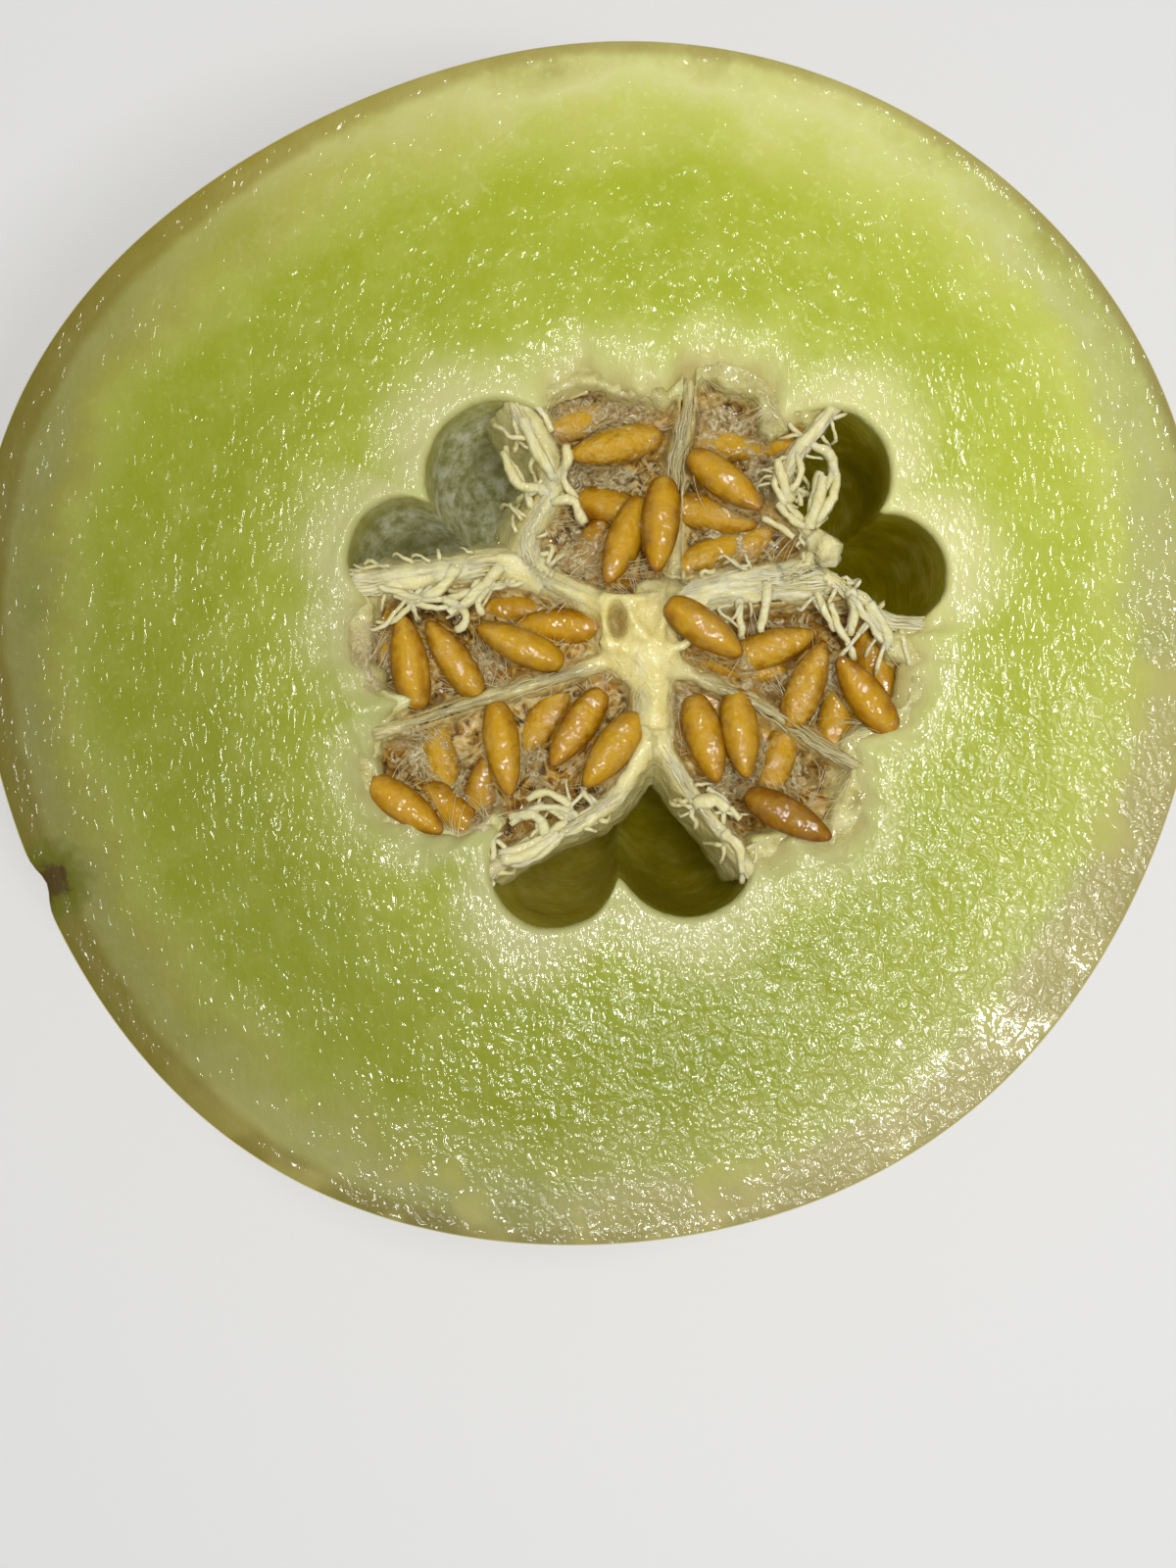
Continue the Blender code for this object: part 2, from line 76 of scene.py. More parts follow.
def softNoise(points, size, seed=0):
    # smooth noise from -1 to 1; size is a number, or one for each axis
    p = np.asarray(points, float) / np.asarray(size, float)
    base = np.floor(p).astype(np.int64)
    f = p - base
    f = f * f * (3 - 2 * f)
    total = np.zeros(len(p))
    for dx in (0, 1):
        for dy in (0, 1):
            for dz in (0, 1):
                weight = (np.where(dx, f[:, 0], 1 - f[:, 0]) * np.where(dy, f[:, 1], 1 - f[:, 1])
                          * np.where(dz, f[:, 2], 1 - f[:, 2]))
                total += weight * latticeValue(base[:, 0] + dx, base[:, 1] + dy, base[:, 2] + dz, seed)
    return total


def layeredNoise(points, size, seed=0, layers=3):
    size = np.asarray(size, float)
    return sum(softNoise(points, size / 2**k, seed + 17 * k) / 2**k for k in range(layers))


def smoothStep(low, high, value):
    t = np.clip((value - low) / (high - low), 0, 1)
    return t * t * (3 - 2 * t)


def smoothRoute(points, samples):
    # stations along a smooth curve through the points
    knots = [np.array(p, float) for p in points]
    knots = [2 * knots[0] - knots[1], *knots, 2 * knots[-1] - knots[-2]]
    route = []
    for a, b, c, d in zip(knots, knots[1:], knots[2:], knots[3:]):
        for t in np.arange(samples) / samples:
            route.append(0.5 * (2 * b + (c - a) * t + (2 * a - 5 * b + 4 * c - d) * t**2
                    + (3 * b - a - 3 * c + d) * t**3))
    return np.array(route + [knots[-2]])


def arc(degrees, start, full, thin, end):
    # 1 between full and thin, and 0 before start and after end
    return smoothStep(start, full, degrees) * (1 - smoothStep(thin, end, degrees))


def atHeight(flat, height):
    return np.column_stack([flat, np.broadcast_to(height, len(flat))])


def gridPoints(x, y, z=0.0):
    return np.column_stack([x.ravel(), y.ravel(), np.broadcast_to(z, x.shape).ravel()])


def gridNoise(x, y, size, seed, layers):
    return layeredNoise(gridPoints(x, y), size, seed, layers).reshape(x.shape)


def rindRadius(angle):
    waves = 0
    for k, share, crest in melon["rindWaves"]:
        waves = waves + share * np.cos(k * (angle - math.radians(crest)))
    return melon["rindRadius"] * (1 + waves)


def hollowRadius(angle):
    # soft maximum of the scallops' circles, seen from the hollow's centre
    exits = [np.full_like(angle, melon["hollowBase"])]
    for facing, reach, radius in melon["scallops"]:
        turn = angle - math.radians(facing)
        middle = reach - radius
        inside = radius**2 - (middle * np.sin(turn)) ** 2
        hit = (inside >= 0) & (np.cos(turn) >= 0)
        exits.append(np.where(hit, middle * np.cos(turn) + np.sqrt(np.maximum(inside, 0)), 0))
    top = np.max(exits, axis=0)
    power = melon["scallopSharpness"]
    return top * np.sum((np.array(exits) / top) ** power, axis=0) ** (1 / power) * mm


def hollowFloor(x, y):
    # height of the hollow's floor under a point of the cut face
    dx, dy = x - melon["hollowCentre"][0], y - melon["hollowCentre"][1]
    share = np.clip(np.hypot(dx, dy) / hollowRadius(np.arctan2(dy, dx)), 0, 1)
    return cutHeight - melon["hollowDepth"] * (1 - share**2) ** (1 / melon["floorPower"])


# Mesh building. A chunk is a dict of verts, faces, slot and point attributes.
def ringChunk(rings, slot=0, closeStart=True, closeEnd=True, **attributes):
    count, around = rings.shape[:2]
    verts = [rings.reshape(-1, 3)]
    i, j = np.meshgrid(np.arange(count - 1), np.arange(around), indexing="ij")
    k = (j + 1) % around
    faces = np.stack([i * around + j, i * around + k, (i + 1) * around + k, (i + 1) * around + j], -1)
    faces = faces.reshape(-1, 4).tolist()
    total = count * around
    for close, ring in ((closeStart, 0), (closeEnd, count - 1)):
        if not close:
            continue
        verts.append(rings[ring].mean(axis=0)[None])
        for j in range(around):
            edge = [ring * around + j, ring * around + (j + 1) % around]
            faces.append([total, *(edge[::-1] if ring == 0 else edge)])
        total += 1
    values = {}
    for name, data in attributes.items():
        data = np.asarray(data, float)
        ends = [data[ring].mean() for close, ring in ((closeStart, 0), (closeEnd, -1)) if close]
        values[name] = np.concatenate([data.ravel(), ends])
    return {"verts": np.concatenate(verts), "faces": faces, "slot": slot, "values": values}


def addObject(name, data):
    obj = bpy.data.objects.new(name, data)
    bpy.context.scene.collection.objects.link(obj)
    return obj


def makeObject(name, chunks, materials):
    names = sorted({key for chunk in chunks for key in chunk["values"]})
    verts, faces, slots, start = [], [], [], 0
    values = {key: [] for key in names}
    for chunk in chunks:
        verts.append(chunk["verts"])
        faces += [[corner + start for corner in face] for face in chunk["faces"]]
        slots += [chunk["slot"]] * len(chunk["faces"])
        for key in names:
            values[key].append(chunk["values"].get(key, np.zeros(len(chunk["verts"]))))
        start += len(chunk["verts"])
    mesh = bpy.data.meshes.new(name)
    mesh.from_pydata(np.concatenate(verts).tolist(), [], faces)
    mesh.polygons.foreach_set("material_index", np.array(slots, np.int32))
    for key in names:
        layer = mesh.attributes.new(key, "FLOAT", "POINT")
        layer.data.foreach_set("value", np.concatenate(values[key]).astype(np.float32))
    for material in materials:
        mesh.materials.append(material)
    mesh.shade_smooth()
    mesh.validate()
    return addObject(name, mesh)


def faceOutward(obj):
    bm = bmesh.new()
    bm.from_mesh(obj.data)
    bmesh.ops.recalc_face_normals(bm, faces=bm.faces)
    bm.to_mesh(obj.data)
    bm.free()
    return obj


def evaluatedMesh(obj):
    graph = bpy.context.evaluated_depsgraph_get()
    return bpy.data.meshes.new_from_object(obj.evaluated_get(graph), depsgraph=graph)


def setAttribute(mesh, name, values):
    layer = mesh.attributes.get(name) or mesh.attributes.new(name, "FLOAT", "POINT")
    layer.data.foreach_set("value", np.asarray(values, np.float32))


def meshVectors(mesh, key="co"):
    values = np.empty(len(mesh.vertices) * 3)
    mesh.vertices.foreach_get(key, values)
    return values.reshape(-1, 3)


# Node building. Nodes go into the tree that was started last.
shading = {"tree": None}


def newMaterial(name):
    material = bpy.data.materials.new(name)
    material.use_nodes = True
    material.node_tree.nodes.clear()
    shading["tree"] = material.node_tree
    return material


def addNode(kind, inputs=(), **settings):
    node = shading["tree"].nodes.new(kind)
    for key, value in settings.items():
        setattr(node, key, value)
    for key, value in dict(inputs).items():
        feed(node.inputs[key], value)
    return node


def feed(socket, value):
    if isinstance(value, bpy.types.NodeSocket):
        shading["tree"].links.new(value, socket)
    elif value is not None:
        socket.default_value = value


def calc(operation, *values, clamp=False):
    node = addNode("ShaderNodeMath", operation=operation, use_clamp=clamp)
    for socket, value in zip(node.inputs, values):
        feed(socket, value)
    return node.outputs[0]


def plus(first, second):
    return calc("ADD", first, second)


def minus(first, second):
    return calc("SUBTRACT", first, second)


def times(first, second, clamp=False):
    return calc("MULTIPLY", first, second, clamp=clamp)


def rescale(value, fromLow, fromHigh, low=0.0, high=1.0):
    node = addNode("ShaderNodeMapRange", {"Value": value}, interpolation_type="SMOOTHSTEP")
    for key, number in (("From Min", fromLow), ("From Max", fromHigh), ("To Min", low), ("To Max", high)):
        node.inputs[key].default_value = number
    return node.outputs[0]


def blend(share, first, second, mode="MIX"):
    node = addNode("ShaderNodeMix", data_type="RGBA", blend_type=mode)
    for socket, value in zip((node.inputs[0], node.inputs[6], node.inputs[7]), (share, first, second)):
        feed(socket, value)
    return node.outputs[2]


def tint(under, colour, mask, amount):
    return blend(times(mask, amount), under, linear(*colour))


def ramp(value, stops):
    node = addNode("ShaderNodeValToRGB", {"Fac": value})
    elements = node.color_ramp.elements
    while len(elements) < len(stops):
        elements.new(0.5)
    for element, (place, colour) in zip(elements, stops):
        element.position = place
        element.color = linear(*colour)
    return node.outputs[0]


def place():
    return addNode("ShaderNodeTexCoord").outputs["Object"]


def stretched(scale=(1, 1, 1), turn=(0, 0, 0)):
    node = addNode("ShaderNodeMapping", {"Vector": place()})
    node.inputs["Scale"].default_value = scale
    node.inputs["Rotation"].default_value = turn
    return node.outputs[0]


def noiseValue(size, vector=None, detail=3.0, rough=0.55, warp=0.0):
    # size is the width in metres of the pattern's largest lumps
    node = addNode("ShaderNodeTexNoise", {"Vector": vector or place()})
    node.inputs["Scale"].default_value = 1 / size
    node.inputs["Detail"].default_value = detail
    node.inputs["Roughness"].default_value = rough
    node.inputs["Distortion"].default_value = warp
    return node.outputs["Fac"]


def cellValue(size, feature="F1"):
    node = addNode("ShaderNodeTexVoronoi", {"Vector": place()}, feature=feature)
    node.inputs["Scale"].default_value = 1 / size
    return node.outputs["Distance"]


def attribute(name):
    return addNode("ShaderNodeAttribute", attribute_name=name).outputs["Fac"]


def bump(height, depth, strength=1.0, under=None):
    node = addNode("ShaderNodeBump", {"Height": height, "Normal": under})
    feed(node.inputs["Distance"], depth)
    feed(node.inputs["Strength"], strength)
    return node.outputs[0]


def skin(colour, normal=None, roughness=0.4, wetNormal=None, **fixed):
    shader = addNode("ShaderNodeBsdfPrincipled", {"Base Color": colour, "Roughness": roughness})
    feed(shader.inputs["Normal"], normal)
    feed(shader.inputs["Coat Normal"], wetNormal or normal)
    for key, value in fixed.items():
        shader.inputs[key.replace("_", " ")].default_value = value
    output = addNode("ShaderNodeOutputMaterial")
    feed(output.inputs["Surface"], shader.outputs[0])
    return shader


# Melon body: rind, cut face and hollow in one closed skin
body = {
    "spokes": 420,
    "cutRings": 74,
    "outerRings": 46,
    "hollowRings": 36,
    "rindSpacing": 1.15,  # powers that crowd the rings toward the rim and the hollow's edge
    "cutSpacing": 0.8,
    "hollowSpacing": 1.25,
    "rimRadius": 0.45 * mm,
    "edgeAtGaps": (1.0 * mm, 0.5 * mm),  # width and fall of the rounded edge
    "edgeAtPockets": (6.0 * mm, 1.9 * mm),
    "edgeBlur": 9,  # spokes over which the pockets' scallops are evened out
    "edgeCreep": 1.3 * mm,  # flesh grown in over the pockets
    "gapArcs": [(112, 170), (6, 54), (234, 298)],  # degrees round the hollow with open gaps
    "upperFilm": (110, 124, 166, 174),  # degrees between which the pale film comes and goes
    "lowerFilm": (226, 232, 292, 300),
    "lowerThins": (252, 272),
    "faceRipple": 0.14 * mm,
    "veinSpots": [  # x, y and spread in mm of the greener spots beside the rind
        (-43.1, 51.0, 4.0), (-68.6, 4.3, 3.0), (-48.6, -48.6, 3.2), (71.0, 0.6, 2.6),
        (-7.3, -69.2, 2.8), (9.7, 54.7, 4.5), (43.7, 34.6, 4.5),
    ],
    "scar": (204, 0.985, 4.8),  # degrees round the rim, share of its radius, and spread in mm
    "scarNotch": 0.018,
    "ragged": (4 * mm, 0.6, 0.9),  # size, then the least and the added share of the creep
    "lipRound": 0.35 * mm,
    "pocketLumps": 0.5 * mm,
    "pocketSag": 0.35 * mm,
    "hollowLumps": 0.45 * mm,
    "lumpSize": (7 * mm, 7 * mm, 12 * mm),
    "hollowMark": 45 * mm,  # stands for the place from the rind in the hollow
    "rindMark": 40 * mm,  # stands for the place from the hollow on the rind
}


def gapShare(angle):
    # 1 where the hollow's edge borders an open gap, 0 where it borders a seed pocket
    degrees = np.degrees(angle) % 360
    share = np.zeros_like(degrees)
    for low, high in body["gapArcs"]:
        share = np.maximum(share, arc(degrees, low - 4, low + 3, high - 3, high + 4))
    return share


def melonSkin():
    s = body
    angle = np.arange(s["spokes"]) * 2 * math.pi / s["spokes"]
    ray = np.stack([np.cos(angle), np.sin(angle)], -1)
    centre = np.array(melon["hollowCentre"])
    outer = ray * rindRadius(angle)[:, None]
    gaps = gapShare(angle)
    rimPlaces = atHeight(ray * 35 * mm, 0.0)
    raggedSize, leastCreep, addedCreep = s["ragged"]
    ragged = layeredNoise(rimPlaces, raggedSize, 5)
    sharp = hollowRadius(angle)
    blur = s["edgeBlur"]
    blurred = sum(np.roll(sharp, k) for k in range(-blur, blur + 1)) / (2 * blur + 1)
    creep = s["edgeCreep"] * (leastCreep + addedCreep * ragged)
    pocketEdge = np.minimum(blurred, sharp + 0.3 * mm) - creep
    reach = gaps * (sharp + ragged * 0.15 * mm) + (1 - gaps) * pocketEdge
    inner = centre + ray * reach[:, None]
    width = np.linalg.norm(outer - inner, axis=1)
    rings, toRind, toHollow = [], [], []

    def addRing(flat, height, rind, hollow):
        rings.append(atHeight(flat, height))
        toRind.append(np.broadcast_to(rind, len(flat)))
        toHollow.append(np.broadcast_to(hollow, len(flat)))

    # underside and rind, from the resting spot up to the rim
    lowest = math.asin(cutHeight / melon["halfLength"])
    for share in (0.35, 0.7):
        addRing(outer * math.cos(lowest) * share, 0.0, 0.0, s["rindMark"])
    rim = s["rimRadius"]
    for share in np.linspace(0, 1, s["outerRings"]):
        below = lowest * (1 - share) ** s["rindSpacing"]
        height = cutHeight - melon["halfLength"] * math.sin(below)
        addRing(outer * math.cos(below), min(height, cutHeight - rim), 0.0, s["rindMark"])
    for turn in (30, 60):
        pull = rim * (1 - math.cos(math.radians(turn)))
        flat = outer - ray * pull
        addRing(flat, cutHeight - rim * (1 - math.sin(math.radians(turn))), pull, s["rindMark"])

    # cut face, rounded down where it meets the hollow
    wander = layeredNoise(rimPlaces, 7 * mm, 15, 2)
    pocketShare = (1 - gaps) * (1 + 0.35 * wander)
    edge, fall = (s["edgeAtGaps"][k] * gaps + s["edgeAtPockets"][k] * pocketShare for k in (0, 1))
    lipRound = s["lipRound"]
    for share in np.linspace(0, 1, s["cutRings"]) ** s["cutSpacing"]:
        near = width * (1 - share)
        drop = fall * np.clip(1 - near / edge, 0, 1) ** 2
        drop = drop + lipRound * (1 - np.sqrt(1 - np.clip(1 - near / lipRound, 0, 0.995) ** 2))
        flat = outer - ray * rim * (1 - share) + (inner - outer) * share
        addRing(flat, cutHeight - drop, width * share + rim, near)
    lip = drop

    # hollow wall and floor
    for share in np.linspace(0, 1, s["hollowRings"])[1:]:
        first, power = lip / melon["hollowDepth"], melon["floorPower"]
        depth = first * (1 - share) + share ** s["hollowSpacing"] * 0.995
        across = np.sqrt((1 - depth**power) / (1 - first**power))
        flat = centre + (inner - centre) * across[:, None]
        addRing(flat, cutHeight - depth * melon["hollowDepth"], s["hollowMark"], 0.0)

    rings = np.array(rings)
    toRind, toHollow = np.array(toRind), np.array(toHollow)
    flatPoints = rings.reshape(-1, 3)
    inHollow = (toRind >= s["hollowMark"] - 1 * mm).ravel()
    onFace = (toRind > rim).ravel() & ~inHollow
    ripple = layeredNoise(flatPoints, 7 * mm, 2, 4) * s["faceRipple"]
    nearEdge = smoothStep(7 * mm, 1 * mm, toHollow.ravel()) * (1 - np.tile(gaps, len(rings)))
    ripple += layeredNoise(flatPoints, 3 * mm, 6, 3) * s["pocketLumps"] * nearEdge
    flatPoints[:, 2] += np.where(onFace, ripple - s["faceRipple"] * 1.6 - s["pocketSag"] * nearEdge, 0)
    lump = layeredNoise(flatPoints, s["lumpSize"], 9, 2) * s["hollowLumps"]
    outward = flatPoints[:, :2] - centre
    outward /= np.maximum(np.linalg.norm(outward, axis=1), 1 * mm)[:, None]
    fade = smoothStep(0, 4 * mm, cutHeight - flatPoints[:, 2] - 1.5 * mm)
    flatPoints[:, :2] += outward * (np.where(inHollow, lump, 0) * fade)[:, None]

    vein = np.zeros(len(flatPoints))
    for x, y, spread in s["veinSpots"]:
        apart = (flatPoints[:, 0] - x * mm) ** 2 + (flatPoints[:, 1] - y * mm) ** 2
        vein = np.maximum(vein, np.exp(-apart / (spread * mm) ** 2))
    scarAngle, scarOut, scarSpread = s["scar"]
    scarAngle = math.radians(scarAngle)
    scarPlace = np.array([math.cos(scarAngle), math.sin(scarAngle)])
    scarPlace = scarPlace * scarOut * rindRadius(np.array([scarAngle]))
    apart = np.linalg.norm(flatPoints - np.array([*scarPlace, cutHeight - 0.8 * mm]), axis=1)
    scar = np.exp(-((apart / (scarSpread * mm)) ** 2))
    flatPoints[:, :2] *= 1 - s["scarNotch"] * (scar**4)[:, None]
    spokeGap = np.tile(gaps, len(rings))
    degrees = np.tile(np.degrees(angle) % 360, len(rings))
    lowerFilm = arc(degrees, *s["lowerFilm"]) * (1 - 0.8 * smoothStep(*s["lowerThins"], degrees))
    film = np.maximum(arc(degrees, *s["upperFilm"]), 0.7 * lowerFilm)
    shape = toRind.shape
    chunk = ringChunk(rings, toRind=toRind / mm, toHollow=toHollow / mm, vein=vein.reshape(shape),
            scar=scar.reshape(shape), gap=spokeGap.reshape(shape), film=film.reshape(shape))
    return chunk, toRind


def fleshMaterial():
    material = newMaterial("cutFlesh")
    fromRind = plus(attribute("toRind"), times(minus(noiseValue(9 * mm, detail=3), 0.5), 12.0))
    # skin line, whitish outer flesh, green middle: places are mm from the rind over 45
    layers = ramp(calc("DIVIDE", fromRind, 45.0), [(0.0, (168, 160, 82)), (0.04, (196, 192, 112)),
            (0.11, (214, 212, 140)), (0.2, (197, 199, 96)), (0.36, (167, 177, 18)),
            (0.62, (162, 173, 10)), (0.86, (175, 185, 40))])
    sideways = addNode("ShaderNodeSeparateXYZ", {"Vector": place()}).outputs
    # painted light: the right side of the cut face is painted lighter, for the light that falls on it
    # from the right
    paintedLightSide = rescale(sideways["X"], 0.0, 0.075)
    layers = tint(layers, (196, 206, 92), paintedLightSide, 0.3)
    nearHollow = rescale(plus(attribute("toHollow"), times(noiseValue(6 * mm, detail=3), 5.0)), 14.0, 3.5)
    colour = tint(layers, (217, 213, 146), nearHollow, 0.92)
    patches = rescale(noiseValue(14 * mm, detail=2), 0.35, 0.7)
    colour = tint(colour, (182, 196, 58), patches, 0.16)
    colour = tint(colour, (150, 168, 14), attribute("vein"), 0.34)
    cloud = rescale(noiseValue(4.5 * mm, detail=3, rough=0.65), 0.4, 0.75)
    colour = tint(colour, (220, 226, 122), cloud, 0.18)
    # painted glints: tiny pale dots painted into the colour stand in for small reflections of the lamps
    paintedGlints = rescale(noiseValue(0.9 * mm, detail=2, rough=0.5), 0.6, 0.74)
    colour = tint(colour, (236, 240, 150), paintedGlints, 0.22)
    leftSide = rescale(sideways["X"], 0.01, -0.06)
    skinLine = plus(attribute("toRind"), times(noiseValue(5 * mm, detail=2), 1.6))
    skinLine = rescale(minus(skinLine, times(leftSide, 2.2)), 3.0, 1.4)
    # painted sheen: at the lower right, where the light is mirrored, the skin line is painted fainter
    sheen = rescale(minus(sideways["X"], sideways["Y"]), 0.04, 0.1)
    skinLine = times(skinLine, minus(0.7, times(sheen, 0.55)))
    dull = times(leftSide, rescale(fromRind, 14.0, 8.0))
    colour = tint(colour, (172, 164, 44), dull, 0.55)
    frost = rescale(noiseValue(3.2 * mm, detail=4, rough=0.7, warp=0.5), 0.48, 0.68)
    frost = times(frost, rescale(attribute("toRind"), 22.0, 3.0, 0.06, 0.42))
    colour = blend(frost, colour, blend(leftSide, linear(212, 213, 140), linear(202, 199, 112)))
    colour = blend(skinLine, colour, blend(leftSide, linear(166, 152, 82), linear(160, 142, 26)))
    # painted sheen: the edge beside the rind is painted cream at the lower right
    paintedSheenEdge = times(sheen, rescale(fromRind, 9.0, 5.0))
    colour = tint(colour, (212, 196, 126), paintedSheenEdge, 0.7)

    # the hollow's wall: olive flesh, under a greyish film in two of the gaps
    depth = minus(cutHeight, sideways["Z"])
    inside = rescale(plus(depth, times(noiseValue(3 * mm, detail=2), 1.4 * mm)), 1.2 * mm, 3.0 * mm)
    olive = ramp(noiseValue(7 * mm, detail=3, rough=0.6), [(0.3, (136, 124, 0)), (0.52, (166, 152, 2)),
            (0.72, (206, 194, 84))])
    filmFibre = noiseValue(1.6 * mm, stretched((1, 1, 0.45)), detail=4, rough=0.6)
    film = ramp(filmFibre, [(0.36, (170, 170, 108)), (0.5, (214, 215, 160)), (0.64, (246, 248, 214))])
    filmShare = times(attribute("film"), rescale(noiseValue(9 * mm, detail=2), 0.2, 0.56, 0.35, 1.0),
            clamp=True)
    film = blend(rescale(sideways["Y"], -0.015, -0.02, 0, 0.85), film, linear(206, 186, 30))
    lining = blend(filmShare, olive, film)
    # painted light: the top of the hollow's wall is painted lighter, for the light that comes through the
    # flesh there
    lit = rescale(depth, 9 * mm, 3 * mm)
    lining = tint(lining, (186, 180, 66), lit, 0.6)
    lining = blend(attribute("gap"), linear(190, 176, 108), lining)
    colour = blend(inside, colour, lining)

    # painted light and shade: the far right is painted palest and the lower left darkest, for the light
    # that falls across the face from the right; the wet lower right and the band beside the rind at
    # either side are made a little darker too
    slant = plus(sideways["X"], times(sideways["Y"], 0.62))
    tone = rescale(slant, -0.075, 0.07, 0.61, 1.02)
    tone = minus(tone, times(rescale(minus(sideways["X"], sideways["Y"]), 0.03, 0.07), 0.11))
    tone = minus(tone, rescale(slant, -0.04, -0.065, 0, 0.06))
    tone = minus(tone, rescale(minus(sideways["X"], sideways["Y"]), 0.075, 0.105, 0, 0.1))
    band = rescale(fromRind, 12.0, 5.0)
    aside = rescale(calc("ABSOLUTE", sideways["X"]), 0.035, 0.07)
    tone = times(tone, minus(1.0, times(times(band, aside), 0.24)))
    paintedShadeColour = addNode("ShaderNodeCombineColor", {"Red": tone, "Green": tone, "Blue": tone}).outputs[0]
    colour = blend(1.0, colour, paintedShadeColour, "MULTIPLY")
    scar = plus(attribute("scar"), times(minus(noiseValue(1.5 * mm, detail=3), 0.5), 0.6))
    colour = blend(rescale(scar, 0.08, 0.6, 0, 0.85), colour, linear(92, 94, 0))
    colour = blend(rescale(scar, 0.64, 0.9, 0, 0.9), colour, linear(66, 46, 0))

    # a pebbly grain, higher where juice stands on it at the lower right, and smooth puddles near the rind
    wetSide = minus(times(sideways["X"], 0.8), times(sideways["Y"], 1.1))
    wet = rescale(plus(wetSide, times(noiseValue(12 * mm, detail=3), 0.03)), 0.02, 0.065)
    nearRind = rescale(attribute("toRind"), 12.0, 7.0)
    puddle = times(times(nearRind, rescale(noiseValue(9 * mm, detail=2), 0.5, 0.66)), wet)
    colour = tint(colour, (184, 174, 92), puddle, 0.35)
    streaks = noiseValue(4.0 * mm, stretched((1.0, 0.35, 1.0), (0, 0, 0.7)), detail=1, warp=1.2)
    juicy = rescale(wetSide, 0.03, 0.07)
    besideHollow = rescale(attribute("toHollow"), 12.0, 5.0)
    fine = times(noiseValue(0.8 * mm, stretched((1.0, 0.5, 1.0)), 1, warp=0.5),
            plus(0.4, times(besideHollow, 0.25)))
    coarse = times(noiseValue(1.7 * mm, detail=1, rough=0.5, warp=1.1), times(juicy, 1.5))
    height = plus(plus(fine, coarse), times(streaks, 0.22))
    glints = bump(height, 0.44 * mm, minus(1.0, times(puddle, 0.85)))
    plain = addNode("ShaderNodeNewGeometry").outputs["Normal"]
    soft = addNode("ShaderNodeMix", {"Factor": 0.35}, data_type="VECTOR")
    feed(soft.inputs["A"], plain)
    feed(soft.inputs["B"], glints)
    roughness = minus(0.44, times(wet, 0.14))
    shader = skin(colour, soft.outputs["Result"], roughness, glints, IOR=1.38, Specular_IOR_Level=0.3,
            Coat_Roughness=0.06)
    coat = plus(0.42, times(wet, 0.5))
    feed(shader.inputs["Coat Weight"], minus(coat, rescale(scar, 0.3, 0.7, 0, 0.4)))
    # daylight that comes through the flesh into the hollow
    feed(shader.inputs["Emission Color"], lining)
    feed(shader.inputs["Emission Strength"], times(inside, plus(0.03, times(filmShare, 0.095))))
    return material


def rindMaterial():
    material = newMaterial("creamRind")
    tone = ramp(noiseValue(30 * mm, detail=5, rough=0.6),
                [(0.3, (176, 172, 98)), (0.5, (200, 190, 118)), (0.7, (214, 196, 122))])
    golden = rescale(noiseValue(42 * mm, detail=3), 0.52, 0.68)
    tone = tint(tone, (206, 164, 78), golden, 0.4)
    freckle = rescale(cellValue(2.6 * mm), 0.16, 0.06)
    tone = tint(tone, (224, 212, 160), freckle, 0.35)
    vein = rescale(cellValue(11 * mm, feature="DISTANCE_TO_EDGE"), 0.05, 0.0)
    tone = tint(tone, (222, 206, 150), vein, 0.16)
    tone = blend(rescale(attribute("scar"), 0.2, 0.8), tone, linear(96, 78, 28))
    height = addNode("ShaderNodeSeparateXYZ", {"Vector": place()}).outputs["Z"]
    underside = rescale(height, 0.012, 0.0)
    tone = tint(tone, (206, 178, 104), underside, 0.5)
    normal = bump(noiseValue(4 * mm, detail=3), 0.25 * mm)
    normal = bump(cellValue(2.2 * mm), 0.05 * mm, under=normal)
    skin(tone, normal, 0.42, IOR=1.45, Coat_Weight=0.15, Coat_Roughness=0.3)
    return material


print("melon body")
chunk, ringToRind = melonSkin()
melonBody = makeObject("melonBody", [chunk], [fleshMaterial(), rindMaterial()])
rindRows = int((ringToRind[:, 0] <= 0).sum())
slots = np.zeros(len(melonBody.data.polygons), np.int32)
slots[: (rindRows + 1) * body["spokes"]] = 1
count = body["spokes"]
slots[-2 * count: -count] = 1
melonBody.data.polygons.foreach_set("material_index", slots)
faceOutward(melonBody)


